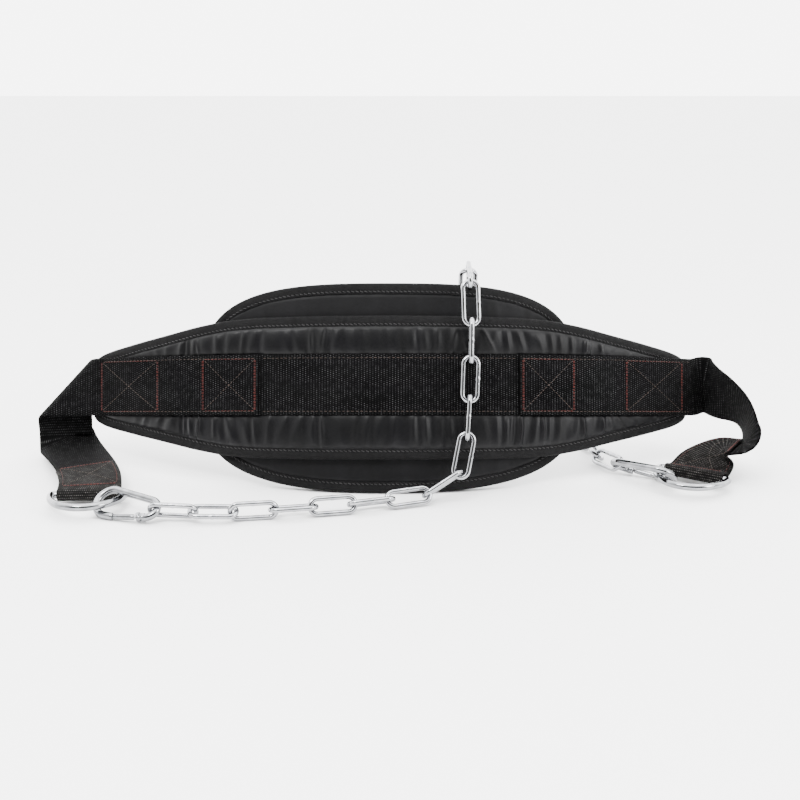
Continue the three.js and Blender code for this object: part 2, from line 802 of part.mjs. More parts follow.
function linkBody() {
  const bend = (linkWidth - linkWire) / 2;
  const straight = (linkLength - linkWidth) / 2;
  const points = [];
  const bendSteps = 5;
  for (const sign of [1, -1]) {
    for (let k = 0; k <= bendSteps; k += 1) {
      const angle = Math.PI * (k / bendSteps - 0.5);
      points.push(new THREE.Vector3(sign * (straight + bend * Math.cos(angle)), sign * bend * Math.sin(angle), 0));
    }
  }
  return wireLoop(points, zAxis, linkWire, 6);
}

function twistAt(share) {
  const rows = [chainRoute[0], ...chainRoute, chainRoute[chainRoute.length - 1]];
  const place = share * (rows.length - 1);
  const k = Math.min(rows.length - 2, Math.floor(place));
  return radians(THREE.MathUtils.lerp(rows[k].twistDeg, rows[k + 1].twistDeg, place - k));
}

// Way along each link and across it. The twist of the links follows the route's twist column.
function linkWays(joints) {
  const ways = [];
  let side = null;
  for (let k = 0; k < linkCount; k += 1) {
    const along = joints[k + 1].clone().sub(joints[k]).normalize();
    if (side === null) {
      side = zAxis.clone().cross(along).normalize();
    } else {
      const turn = new THREE.Quaternion().setFromUnitVectors(ways[k - 1].along, along);
      side = side.clone().applyQuaternion(turn);
    }
    const twist = twistAt((k + 0.5) / linkCount) + (k % 2) * Math.PI / 2;
    ways.push({ along, across: side.clone().applyAxisAngle(along, twist) });
  }
  return ways;
}

// How far the wires of the two links at joint k reach past it. Where the chain bends, the link that
// lies in the plane of the bend takes the whole contact, so that its round end turns about the other.
function jointReach(ways, k) {
  const contact = linkWire + linkSlack;
  if (k === 0 || k === linkCount) {
    return { before: contact / 2, after: contact / 2 };
  }
  const bend = ways[k].along.clone().sub(ways[k - 1].along);
  const sharpness = Math.min(1, bend.length());
  const first = Math.abs(ways[k - 1].across.dot(bend));
  const second = Math.abs(ways[k].across.dot(bend));
  const share = THREE.MathUtils.lerp(0.5, first ** 2 / (first ** 2 + second ** 2 + 1e-9), sharpness);
  return { before: contact * share, after: contact * (1 - share) };
}

// Joints between links: spread along the route, then pulled to the links' pitch with both ends held
function chainJoints() {
  const route = new THREE.CatmullRomCurve3([
    leftHook.chainEnd,
    ...chainRoute.map(({ x, y, z }) => new THREE.Vector3(x, y, z)),
    rightHook.chainEnd,
  ], false, 'centripetal');
  const joints = route.getSpacedPoints(linkCount);
  const rounds = 400;
  for (let round = 0; round < rounds; round += 1) {
    const ways = linkWays(joints);
    for (let k = 0; k < linkCount; k += 1) {
      const pitch = linkLength - linkWire - jointReach(ways, k).after - jointReach(ways, k + 1).before;
      const step = joints[k + 1].clone().sub(joints[k]);
      const pull = step.clone().multiplyScalar((1 - pitch / step.length()) / 2);
      const firstHeld = k === 0;
      const secondHeld = k === linkCount - 1;
      if (!firstHeld) {
        joints[k].addScaledVector(pull, secondHeld ? 2 : 1);
      }
      if (!secondHeld) {
        joints[k + 1].addScaledVector(pull, firstHeld ? -2 : -1);
      }
    }
  }
  return joints;
}

function chain() {
  const group = new THREE.Group();
  const joints = chainJoints();
  const ways = linkWays(joints);
  ways.forEach(({ along, across }, k) => {
    const link = named(`link_${String(k + 1).padStart(2, '0')}`, linkBody(), zincSteel);
    const frame = new THREE.Matrix4().makeBasis(along, across, along.clone().cross(across));
    link.quaternion.setFromRotationMatrix(frame);
    link.position.copy(joints[k])
      .addScaledVector(along, (linkLength - linkWire) / 2 - jointReach(ways, k).after);
    group.add(link);
  });
  return group;
}

// Assembly, with its origin under the middle of everything

const belt = new THREE.Group();
const cushions = new THREE.Group();
cushions.position.copy(raised);
cushions.add(named('main_panel', panelBody, padding));
cushions.add(named('main_binding', panelTape, edgeTape));
cushions.add(named('back_pad', flattenedFoot(padBody), padCloth));
cushions.add(named('back_binding', flattenedFoot(padTape), edgeTape));
belt.add(cushions);
belt.add(named('waist_band', bandBody(), webbing));
belt.add(named('left_strap', leftStrapBody(), webbing));
belt.add(named('right_strap', rightStrapBody(), webbing));
belt.add(named('left_d_ring', ringBody(leftRing), brightSteel));
belt.add(named('right_d_ring', ringBody(rightRing), brightSteel));
belt.add(placedHook('left', leftHook));
belt.add(placedHook('right', rightHook));
belt.add(chain());

const extent = new THREE.Box3().setFromObject(belt, true);
belt.position.set(-(extent.min.x + extent.max.x) / 2, -(extent.min.y + extent.max.y) / 2, -extent.min.z);

const part = new THREE.Group();
part.add(belt);

export default part;
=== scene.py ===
"""Dip belt dressed for the studio: padded panels, bound edges, webbing, seams, rings, hooks and chain.

Lengths inside the classes are millimetres in the part's own frame; meshes are written in metres.
"""
import logging
import math
from collections.abc import Callable
from dataclasses import dataclass, field
from enum import Enum

import bpy
import numpy as np
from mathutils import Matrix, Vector


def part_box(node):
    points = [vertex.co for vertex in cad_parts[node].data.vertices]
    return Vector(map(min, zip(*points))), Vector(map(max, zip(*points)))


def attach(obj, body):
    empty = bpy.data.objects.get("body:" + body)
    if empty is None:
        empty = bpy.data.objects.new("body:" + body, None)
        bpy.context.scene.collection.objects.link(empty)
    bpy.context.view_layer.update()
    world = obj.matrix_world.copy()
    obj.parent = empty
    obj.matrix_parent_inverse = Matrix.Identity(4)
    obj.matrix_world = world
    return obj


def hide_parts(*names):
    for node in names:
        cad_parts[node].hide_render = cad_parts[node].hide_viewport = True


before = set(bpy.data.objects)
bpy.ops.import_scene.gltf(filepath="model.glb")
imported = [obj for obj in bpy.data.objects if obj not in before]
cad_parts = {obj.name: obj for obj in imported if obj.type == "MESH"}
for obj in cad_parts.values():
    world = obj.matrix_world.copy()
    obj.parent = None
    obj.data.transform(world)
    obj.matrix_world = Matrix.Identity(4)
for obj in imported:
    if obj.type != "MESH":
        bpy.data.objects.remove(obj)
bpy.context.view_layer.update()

LOG = logging.getLogger("dip_belt")
METRES = 0.001
Z_AXIS = np.array([0.0, 0.0, 1.0])
X_AXIS = np.array([1.0, 0.0, 0.0])
BELT_BODY = "belt"
# From the belt's middle, where places on the table are measured from, to the part's origin
TABLE_SHIFT = np.array([2.231, -18.257, 0.0])

Socket = bpy.types.NodeSocket
Colour = tuple[float, float, float]
Spot = tuple[float, float]


class Side(Enum):
    """Side of the belt, as the sign of X."""

    LEFT = -1
    RIGHT = 1


class Slot(Enum):
    """Material slots of the record."""

    PANEL = "panel_cloth"
    PAD = "pad_cloth"
    TAPE = "edge_tape"
    WEBBING = "webbing"
    BRIGHT = "bright_steel"
    CHAIN = "chain_steel"


# Small maths


def unit(vectors: np.ndarray) -> np.ndarray:
    """Scales each vector to length one.

    Args:
        vectors: One vector or rows of vectors.

    Returns:
        The same array with unit rows.
    """
    vectors = np.asarray(vectors, float)
    return vectors / np.maximum(np.linalg.norm(vectors, axis=-1, keepdims=True), 1e-12)


def smoothstep(value: np.ndarray, low: float, high: float) -> np.ndarray:
    """Eased 0 to 1 between two values.

    Args:
        value: What is eased.
        low: Where the result leaves 0.
        high: Where it reaches 1.

    Returns:
        The eased share.
    """
    share = np.clip((np.asarray(value, float) - low) / (high - low), 0.0, 1.0)
    return share * share * (3.0 - 2.0 * share)


def travelled(points: np.ndarray) -> np.ndarray:
    """Distance run along a row of points, starting at 0."""
    return np.concatenate([[0.0], np.cumsum(np.linalg.norm(np.diff(points, axis=0), axis=1))])


def resampled(points: np.ndarray, spacing: float, closed: bool = False) -> np.ndarray:
    """Spreads points evenly along a line.

    Args:
        points: Rows of coordinates.
        spacing: Wanted distance between neighbours.
        closed: Whether the line runs back to its first point.

    Returns:
        Evenly spaced rows; a closed line doesn't repeat its first row.
    """
    line = np.vstack([points, points[:1]]) if closed else points
    run = travelled(line)
    count = max(2, int(round(run[-1] / spacing)))
    places = np.linspace(0.0, run[-1], count + 1)
    if closed:
        places = places[:-1]
    return np.stack([np.interp(places, run, line[:, k]) for k in range(line.shape[1])], axis=1)


def rounded_loop(points: np.ndarray, window: int) -> np.ndarray:
    """Softens a closed line by averaging each point with its neighbours.

    Args:
        points: Evenly spaced rows of a closed line.
        window: Number of neighbours on each side.

    Returns:
        The softened rows.
    """
    total = np.zeros_like(points)
    for shift in range(-window, window + 1):
        total += np.roll(points, shift, axis=0)
    return total / (2 * window + 1)


def wander(values: np.ndarray, seed: int, octaves: int = 3, wave: float = 40.0) -> np.ndarray:
    """Smooth seeded variation along one direction, within about -1 to 1.

    Args:
        values: Places along the direction.
        seed: Which variation.
        octaves: Number of finer and finer layers.
        wave: Length of the longest wave.

    Returns:
        The variation at each place.
    """
    dice = np.random.default_rng(seed)
    total = np.zeros_like(np.asarray(values, float))
    for octave in range(octaves):
        length = wave / 1.9**octave
        phase = dice.uniform(0.0, 2.0 * math.pi, 2)
        total += (np.sin(values * 2.0 * math.pi / length + phase[0])
                  + np.sin(values * 2.0 * math.pi / (length * 1.37) + phase[1])) * 0.5 / 1.5**octave
    return total / octaves * 1.6


# Meshes


class Draft:
    """Collects patches of a mesh and turns them into one object."""

    def __init__(self) -> None:
        """Starts with nothing in it."""
        self.points: list[np.ndarray] = []
        self.faces: list[tuple[int, ...]] = []
        self.corners: list[tuple[float, float]] = []
        self.total = 0

    def grid(self, points: np.ndarray, uv: np.ndarray, closed_rows: bool = False,
             closed_columns: bool = False, capped: bool = False) -> None:
        """Adds a patch of quads.

        Args:
            points: Rows by columns by 3.
            uv: Rows by columns by 2, one more each way where that way is closed.
            closed_rows: Whether the last row joins the first.
            closed_columns: Whether the last column joins the first.
            capped: Whether the first and the last row are filled, for a closed column way.
        """
        rows, columns = points.shape[:2]
        start = self.total
        self.points.append(points.reshape(-1, 3))
        self.total += rows * columns
        for i in range(rows if closed_rows else rows - 1):
            here = start + i * columns
            there = start + ((i + 1) % rows) * columns
            for j in range(columns if closed_columns else columns - 1):
                k = (j + 1) % columns
                self.faces.append((here + j, there + j, there + k, here + k))
                for a, b in ((i, j), (i + 1, j), (i + 1, j + 1), (i, j + 1)):
                    self.corners.append((uv[a, b, 0], uv[a, b, 1]))
        if capped:
            first = tuple(start + j for j in range(columns))
            last = tuple(start + (rows - 1) * columns + j for j in reversed(range(columns)))
            for face, row in ((first, 0), (last, rows - 1)):
                self.faces.append(face)
                for index in face:
                    j = (index - start) % columns
                    self.corners.append((uv[row, j, 0], uv[row, j, 1]))

    def sweep(self, centres: np.ndarray, first: np.ndarray, second: np.ndarray, radii: np.ndarray,
              sides: int = 16, closed: bool = False) -> None:
        """Adds a round wire.

        Args:
            centres: Rows of points along the wire.
            first: Unit vectors across the wire, one per point.
            second: Unit vectors across the wire, square to the first ones.
            radii: Wire radius at each point.
            sides: Sides of the section.
            closed: Whether the wire runs back to its start.
        """
        angles = 2.0 * math.pi * np.arange(sides) / sides
        ring = (np.cos(angles)[None, :, None] * first[:, None, :]
                + np.sin(angles)[None, :, None] * second[:, None, :])
        points = centres[:, None, :] + ring * np.asarray(radii)[:, None, None]
        run = travelled(np.vstack([centres, centres[:1]]) if closed else centres)
        around = np.linspace(0.0, 2.0 * math.pi * float(np.mean(radii)), sides + 1)
        uv = np.stack(np.meshgrid(run, around, indexing="ij"), axis=2)
        self.grid(points, uv, closed_rows=closed, closed_columns=True, capped=not closed)

    def to_object(self, name: str, material: bpy.types.Material, slot: Slot, body: str = BELT_BODY,
                  replaced: tuple[str, ...] = ()) -> bpy.types.Object:
        """Writes the mesh, its material and its place in the frame.

        Args:
            name: Name of the new object.
            material: Its finish.
            slot: Material slot of the record that it stands for. Not used.
            body: Body that it rides on.
            replaced: Solids that it stands for.

        Returns:
            The new object.
        """
        mesh = bpy.data.meshes.new(name)
        mesh.from_pydata((np.vstack(self.points) * METRES).tolist(), [], self.faces)
        layer = mesh.uv_layers.new(name="cloth_mm")
        layer.data.foreach_set("uv", np.asarray(self.corners, np.float32).ravel())
        mesh.polygons.foreach_set("use_smooth", [True] * len(mesh.polygons))
        mesh.update()
        piece = bpy.data.objects.new(name, mesh)
        bpy.context.scene.collection.objects.link(piece)
        piece.data.materials.append(material)
        signed = volume_of(mesh)
        if signed < 0.0:
            mesh.flip_normals()
        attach(piece, body)
        if replaced:
            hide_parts(*replaced)
        LOG.info("%s: %d faces", name, len(self.faces))
        return piece


def volume_of(mesh: bpy.types.Mesh) -> float:
    """Signed volume of a mesh, negative where its faces look inwards."""
    mesh.calc_loop_triangles()
    places = np.empty(len(mesh.vertices) * 3)
    mesh.vertices.foreach_get("co", places)
    places = places.reshape(-1, 3)
    corners = np.empty(len(mesh.loop_triangles) * 3, np.int64)
    mesh.loop_triangles.foreach_get("vertices", corners)
    a, b, c = (places[corners.reshape(-1, 3)[:, k]] for k in range(3))
    return float(np.einsum("ij,ij->i", a, np.cross(b, c)).sum() / 6.0)


# Shader tools


class Board:
    """Places shader nodes in one tree and wires them."""

    def __init__(self, tree: bpy.types.NodeTree) -> None:
        """Works on the tree that is given."""
        self.tree = tree

    def node(self, kind: str, sockets: dict | None = None, **settings: object) -> bpy.types.Node:
        """Adds a node.

        Args:
            kind: Blender's type name of the node.
            sockets: Values or other nodes' outputs for its inputs.
            settings: Properties of the node itself.

        Returns:
            The new node.
        """
        made = self.tree.nodes.new(kind)
        for key, value in settings.items():
            setattr(made, key, value)
        for key, value in (sockets or {}).items():
            self.feed(made.inputs[key], value)
        return made

    def feed(self, socket: Socket, value: object) -> None:
        """Links an output to a socket, or writes a plain value in it."""
        if isinstance(value, Socket):
            self.tree.links.new(value, socket)
        else:
            socket.default_value = value

    def math(self, operation: str, first: object, second: object = 0.0) -> Socket:
        """Adds a Math node.

        Args:
            operation: Its operation.
            first: First value or socket.
            second: Second value or socket.

        Returns:
            Its output.
        """
        return self.node("ShaderNodeMath", {0: first, 1: second}, operation=operation).outputs[0]

    def humps(self, place: Socket) -> Socket:
        """Round humps from 0 to 1, one for each whole step of the place."""
        return self.math("ABSOLUTE", self.math("SINE", self.math("MULTIPLY", place, math.pi)))

    def spread(self, value: object, low: float, high: float, out_low: float = 0.0,
               out_high: float = 1.0) -> Socket:
        """Maps a range of values to another one.

        Args:
            value: What is mapped.
            low: Start of its range.
            high: End of its range.
            out_low: Start of the new range.
            out_high: End of the new range.

        Returns:
            The mapped value, kept in the new range.
        """
        sockets = {0: value, 1: low, 2: high, 3: out_low, 4: out_high}
        return self.node("ShaderNodeMapRange", sockets, clamp=True).outputs[0]

    def blend(self, factor: object, first: object, second: object) -> Socket:
        """Mixes two colours.

        Args:
            factor: Share of the second one.
            first: First colour.
            second: Second colour.

        Returns:
            The mixed colour.
        """
        made = self.node("ShaderNodeMix", {0: factor, 6: first, 7: second}, data_type="RGBA")
        return made.outputs[2]

    def noise(self, scale: object, detail: float, stretch: Colour = (1.0, 1.0, 1.0)) -> Socket:
        """Adds a noise texture on the piece's own coordinates.

        Args:
            scale: Waves per metre.
            detail: Layers of detail.
            stretch: Scale along each axis.

        Returns:
            The noise value.
        """
        where = self.node("ShaderNodeTexCoord").outputs["Object"]
        mapped = self.node("ShaderNodeMapping", {"Vector": where, "Scale": stretch}).outputs[0]
        made = self.node("ShaderNodeTexNoise", {"Vector": mapped, "Scale": scale, "Detail": detail})
        return made.outputs[0]

    def bump(self, height: Socket, relief: float, strength: float, normal: Socket | None = None) -> Socket:
        """Adds a Bump node.

        Args:
            height: Height over the surface.
            relief: Its depth in millimetres.
            strength: How much of it shows.
            normal: Normal of a coarser or finer bump under it.

        Returns:
            The new normal.
        """
        sockets = {"Strength": strength, "Distance": relief * METRES, "Height": height}
        if normal is not None:
            sockets["Normal"] = normal
        return self.node("ShaderNodeBump", sockets).outputs[0]

    def effect(self, tree: bpy.types.NodeTree, *values: float) -> bpy.types.Node:
        """Places a shared effect.

        Args:
            tree: The effect's group.
            values: Values of its first inputs. The others keep their defaults.

        Returns:
            The group's node.
        """
        made = self.node("ShaderNodeGroup", node_tree=tree)
        for socket, value in zip(made.inputs, values):
            socket.default_value = value
        return made

    def uv(self) -> tuple[Socket, Socket]:
        """Way along and way across the cloth, in millimetres."""
        parts = self.node("ShaderNodeSeparateXYZ", {0: self.node("ShaderNodeTexCoord").outputs["UV"]})
        return parts.outputs[0], parts.outputs[1]


Wiring = Callable[[Board, bpy.types.Node], tuple[Socket, ...]]


class Effects:
    """Shader groups that several finishes share. Each is built once."""

    made: dict[str, bpy.types.NodeTree] = {}

    @classmethod
    def shared(cls, name: str, inputs: dict[str, float], outputs: tuple[str, ...],
               wire: Wiring) -> bpy.types.NodeTree:
        """Builds a group the first time that it is asked for.

        Args:
            name: Name of the group.
            inputs: Default value of each input.
            outputs: Names of its outputs.
            wire: Takes a board on the group and its input node, and gives what the outputs put out.

        Returns:
            The group.
        """
        if name not in cls.made:
            tree = bpy.data.node_groups.new(name, "ShaderNodeTree")
            for label, value in inputs.items():
                socket = tree.interface.new_socket(label, in_out="INPUT", socket_type="NodeSocketFloat")
                socket.default_value = value
            for label in outputs:
                tree.interface.new_socket(label, in_out="OUTPUT", socket_type="NodeSocketFloat")
            board = Board(tree)
            shown = wire(board, board.node("NodeGroupInput"))
            out = board.node("NodeGroupOutput")
            for socket, value in zip(out.inputs, shown):
                board.feed(socket, value)
            cls.made[name] = tree
        return cls.made[name]

    @classmethod
    def weave(cls) -> bpy.types.NodeTree:
        """Plain weave of thick yarns: rows of knuckles, every other row shifted by half a yarn."""

        def wire(board: Board, given: bpy.types.Node) -> tuple[Socket, Socket]:
            """Wires the yarns' height and the mask of their knuckles."""
            along, across = board.uv()
            row = board.math("DIVIDE", along, given.outputs[0])
            odd = board.math("MODULO", board.math("FLOOR", board.math("ADD", row, 4000.0)), 2.0)
            shift = board.math("MULTIPLY", odd, 0.5)
            yarn = board.math("ADD", board.math("DIVIDE", across, given.outputs[1]), shift)
            rib, bead = board.humps(row), board.humps(yarn)
            crest = board.math("ADD", board.math("MULTIPLY", bead, 0.65), 0.35)
            height = board.math("MULTIPLY", board.math("POWER", rib, 0.6), crest)
            return height, board.spread(board.math("MULTIPLY", rib, bead), 0.76, 1.0)

        return cls.shared("plain_weave", {"Row Pitch": 2.3, "Yarn Pitch": 1.7}, ("Height", "Knuckle"), wire)

    @classmethod
    def mottle(cls) -> bpy.types.NodeTree:
        """Broad and fine uneven shade, as dust, handling and dye leave it; it also varies the strength of the
        painted highlights on knuckles and plies.
        """

        def wire(board: Board, given: bpy.types.Node) -> tuple[Socket, Socket]:
            """Wires the broad shade and the fine grain."""
            broad, fine = board.noise(given.outputs[0], 4.0), board.noise(given.outputs[1], 2.0)
            return board.spread(broad, 0.3, 0.7), board.spread(fine, 0.3, 0.7)

        return cls.shared("mottle", {"Broad": 18.0, "Fine": 260.0}, ("Shade", "Grain"), wire)

    @classmethod
    def twist(cls) -> bpy.types.NodeTree:
        """Slanting ply of a sewing thread."""

        def wire(board: Board, given: bpy.types.Node) -> tuple[Socket]:
            """Wires the plies' height."""
            along, across = board.uv()
            slanting = board.math("ADD", along, board.math("MULTIPLY", across, 0.6))
            return (board.humps(board.math("DIVIDE", slanting, given.outputs[0])),)

        return cls.shared("thread_twist", {"Ply": 0.7}, ("Height",), wire)


@dataclass(frozen=True)
class Finish:
    """A finish of the object, from its darker colour to its lighter one."""

    name: str
    colour: Colour
    second: Colour
    roughness: float

    def start(self) -> tuple[bpy.types.Material, Board, bpy.types.Node]:
        """Makes an empty material.

        Returns:
            The material, a board on its nodes and its Principled node.
        """
        material = bpy.data.materials.new(self.name)
        material.use_nodes = True
        board = Board(material.node_tree)
        shader = material.node_tree.nodes["Principled BSDF"]
        shader.inputs["Roughness"].default_value = self.roughness
        return material, board, shader

    def tone(self, board: Board, share: object) -> Socket:
        """Mixes the two colours by the share of the lighter one."""
        return board.blend(share, (*self.colour, 1.0), (*self.second, 1.0))

    def material(self) -> bpy.types.Material:
        """Makes the material. Each kind of finish does it its own way."""
        raise NotImplementedError


@dataclass(frozen=True)
class WebbingFinish(Finish):
    """Ribbed black webbing with a dotted weave, its yarn knuckles painted lighter as painted highlights."""

    row_pitch: float = 2.3
    yarn_pitch: float = 1.7
    relief: float = 0.45

    def material(self) -> bpy.types.Material:
        """Makes the webbing's material."""
        made, board, shader = self.start()
        weave = board.effect(Effects.weave(), self.row_pitch, self.yarn_pitch)
        mottle = board.effect(Effects.mottle())
        # Painted highlights: the knuckle mask, thinned by the fine grain, mixes the lighter colour onto the
        # yarn tops.
        glint_grain = board.spread(mottle.outputs[1], 0.2, 0.9, 0.15, 1.0)
        knuckle_glints = board.math("MULTIPLY", weave.outputs[1], glint_grain)
        dust = board.spread(mottle.outputs[0], 0.0, 1.0, 0.0, 0.03)
        glints_and_dust = board.blend(dust, self.tone(board, knuckle_glints), (*self.second, 1.0))
        board.feed(shader.inputs["Base Color"], glints_and_dust)
        rough = board.spread(knuckle_glints, 0.0, 1.0, self.roughness + 0.12, self.roughness)
        board.feed(shader.inputs["Roughness"], rough)
        height = board.math("ADD", weave.outputs[0], board.math("MULTIPLY", mottle.outputs[1], 0.12))
        board.feed(shader.inputs["Normal"], board.bump(height, self.relief, 1.0))
        shader.inputs["Specular IOR Level"].default_value = 0.03
        return made


@dataclass(frozen=True)
class NylonFinish(Finish):
    """Smooth coated nylon that gleams on its gathers."""

    weave_pitch: float = 0.42
    relief: float = 0.05
    crease_relief: float = 0.9
    coat: float = 0.02

    def material(self) -> bpy.types.Material:
        """Makes the nylon's material."""
        made, board, shader = self.start()
        weave = board.effect(Effects.weave(), self.weave_pitch, self.weave_pitch)
        mottle = board.effect(Effects.mottle())
        streak = board.noise(70.0, 3.0, stretch=(1.0, 1.0, 0.16))
        patchy_share = board.spread(mottle.outputs[0], 0.0, 1.0, 0.35, 1.0)
        shade = board.math("MULTIPLY", board.spread(streak, 0.35, 0.72), patchy_share)
        board.feed(shader.inputs["Base Color"], self.tone(board, shade))
        rough = board.spread(streak, 0.3, 0.75, self.roughness + 0.1, self.roughness - 0.05)
        board.feed(shader.inputs["Roughness"], rough)
        grain = board.math("MULTIPLY", board.noise(900.0, 2.0), 0.8)
        height = board.math("ADD", board.math("MULTIPLY", weave.outputs[0], 0.6), grain)
        cloth = board.bump(height, self.relief, 0.6)
        creases = board.noise(110.0, 4.0, stretch=(1.0, 1.0, 0.3))
        board.feed(shader.inputs["Normal"], board.bump(creases, self.crease_relief, 0.5, cloth))
        shader.inputs["Specular IOR Level"].default_value = 0.13
        shader.inputs["Coat Weight"].default_value = self.coat
        shader.inputs["Coat Roughness"].default_value = 0.3
        return made


@dataclass(frozen=True)
class TapeFinish(Finish):
    """Ribbed binding tape, its rib tops painted lighter as painted highlights."""

    rib_pitch: float = 0.95
    relief: float = 0.18

    def material(self) -> bpy.types.Material:
        """Makes the tape's material."""
        made, board, shader = self.start()
        weave = board.effect(Effects.weave(), self.rib_pitch, self.rib_pitch * 0.8)
        mottle = board.effect(Effects.mottle())
        patchy_share = board.spread(mottle.outputs[0], 0.0, 1.0, 0.4, 1.0)
        # Painted highlights: the knuckle mask, varied in patches, mixes the lighter colour onto the rib tops.
        shade = board.math("MULTIPLY", weave.outputs[1], patchy_share)
        board.feed(shader.inputs["Base Color"], self.tone(board, shade))
        rough = board.spread(mottle.outputs[1], 0.0, 1.0, self.roughness - 0.06, self.roughness + 0.08)
        board.feed(shader.inputs["Roughness"], rough)
        board.feed(shader.inputs["Normal"], board.bump(weave.outputs[0], self.relief, 0.9))
        shader.inputs["Specular IOR Level"].default_value = 0.09
        return made


@dataclass(frozen=True)
class ThreadFinish(Finish):
    """Twisted sewing thread, its ply crests painted lighter and its grooves darker as painted light."""

    ply: float = 0.7
    relief: float = 0.12

    def material(self) -> bpy.types.Material:
        """Makes the thread's material."""
        made, board, shader = self.start()
        twist = board.effect(Effects.twist(), self.ply)
        mottle = board.effect(Effects.mottle(), 90.0)
        # Painted light: the plies' height lightens the crests and darkens the grooves between them.
        shade = board.math("MULTIPLY", twist.outputs[0], mottle.outputs[0])
        board.feed(shader.inputs["Base Color"], self.tone(board, shade))
        board.feed(shader.inputs["Normal"], board.bump(twist.outputs[0], self.relief, 0.8))
        shader.inputs["Specular IOR Level"].default_value = 0.3
        return made


@dataclass(frozen=True)
class PlatingFinish(Finish):
    """Bright plated steel with faint rub marks."""

    wipe: float = 0.08
    relief: float = 0.04

    def material(self) -> bpy.types.Material:
        """Makes the plating's material."""
        made, board, shader = self.start()
        mottle = board.effect(Effects.mottle(), 120.0, 900.0)
        board.feed(shader.inputs["Base Color"], self.tone(board, mottle.outputs[0]))
        rough = board.spread(mottle.outputs[1], 0.0, 1.0, self.roughness, self.roughness + self.wipe)
        board.feed(shader.inputs["Roughness"], rough)
        scratch = board.noise(500.0, 2.0, stretch=(1.0, 0.25, 1.0))
        board.feed(shader.inputs["Normal"], board.bump(scratch, self.relief, 0.25))
        shader.inputs["Metallic"].default_value = 1.0
        return made


FINISHES: dict[str, Finish] = {
    # The webbing's lighter colour is the painted highlight on its yarn knuckles.
    "webbing": WebbingFinish("black_webbing", (0.0003, 0.0003, 0.00035), (0.062, 0.062, 0.063), 0.65),
    # The doubled ends are the same webbing painted lighter, as painted light.
    "sewn_webbing_painted_light": WebbingFinish("sewn_webbing_painted_light", (0.0016, 0.0015, 0.0015), (0.17, 0.163, 0.155), 0.65,
                                  row_pitch=1.8, yarn_pitch=1.5),
    "panel": NylonFinish("glossy_nylon", (0.0008, 0.0008, 0.001), (0.0036, 0.0035, 0.0042), 0.36),
    "pad": NylonFinish("pad_nylon", (0.0012, 0.0012, 0.0014), (0.0042, 0.0042, 0.0048), 0.5, coat=0.0),
    "tape": TapeFinish("binding_tape", (0.001, 0.001, 0.0011), (0.044, 0.043, 0.044), 0.72),
    "red_thread": ThreadFinish("red_thread", (0.03, 0.003, 0.002), (0.1, 0.01, 0.005), 0.6),
    "tan_thread": ThreadFinish("tan_thread", (0.015, 0.01, 0.007), (0.055, 0.035, 0.026), 0.6),
    "dark_thread": ThreadFinish("dark_thread", (0.003, 0.003, 0.0032), (0.03, 0.029, 0.03), 0.6),
    "bright": PlatingFinish("bright_plating", (0.17, 0.174, 0.181), (0.3, 0.304, 0.313), 0.06),
    "zinc": PlatingFinish("zinc_plating", (0.25, 0.254, 0.265), (0.4, 0.404, 0.415), 0.08),
}


@dataclass(frozen=True)
class Wardrobe:
    """All the materials, made once."""

    webbing: bpy.types.Material
    sewn_webbing_painted_light: bpy.types.Material
    panel: bpy.types.Material
    pad: bpy.types.Material
    tape: bpy.types.Material
    red_thread: bpy.types.Material
    tan_thread: bpy.types.Material
    dark_thread: bpy.types.Material
    bright: bpy.types.Material
    zinc: bpy.types.Material

    @staticmethod
    def stocked() -> "Wardrobe":
        """Makes the material of every finish."""
        return Wardrobe(**{name: finish.material() for name, finish in FINISHES.items()})


# The belt's leaning curve


@dataclass(frozen=True)
class BeltCurve:
    """The leaning arc that the belt follows: u along it, v up it, w outwards from the panel's back."""

    origin: np.ndarray
    radius: float = 450.0
    lean: float = math.radians(18.0)

    @property
    def up(self) -> np.ndarray:
        """Unit vector up the belt."""
        return np.array([0.0, math.sin(self.lean), math.cos(self.lean)])

    @property
    def back(self) -> np.ndarray:
        """Unit vector from the belt's front to its back."""
        return np.array([0.0, math.cos(self.lean), -math.sin(self.lean)])

    def sag(self, u: np.ndarray, w: np.ndarray | float = 0.0) -> np.ndarray:
        """How far the arc has gone back at u."""
        return self.radius - (self.radius + w) * np.cos(u / self.radius)

    def point(self, u: np.ndarray, v: np.ndarray, w: np.ndarray) -> np.ndarray:
        """Places belt coordinates in the part's frame.

        Args:
            u: Way along the belt.
            v: Way up it.
            w: Way out of it.

        Returns:
            Points, with the inputs' common shape and a last axis of 3.
        """
        u, v, w = np.broadcast_arrays(*(np.asarray(x, float) for x in (u, v, w)))
        reach = (self.radius + w) * np.sin(u / self.radius)
        return (self.origin + reach[..., None] * X_AXIS + self.sag(u, w)[..., None] * self.back
                + v[..., None] * self.up)

    def outward(self, u: np.ndarray) -> np.ndarray:
        """Unit vector out of the belt's front at u."""
        u = np.asarray(u, float)
        return np.sin(u / self.radius)[..., None] * X_AXIS - np.cos(u / self.radius)[..., None] * self.back

    def tangent(self, u: np.ndarray) -> np.ndarray:
        """Unit vector along the belt at u."""
        u = np.asarray(u, float)
        return np.cos(u / self.radius)[..., None] * X_AXIS + np.sin(u / self.radius)[..., None] * self.back


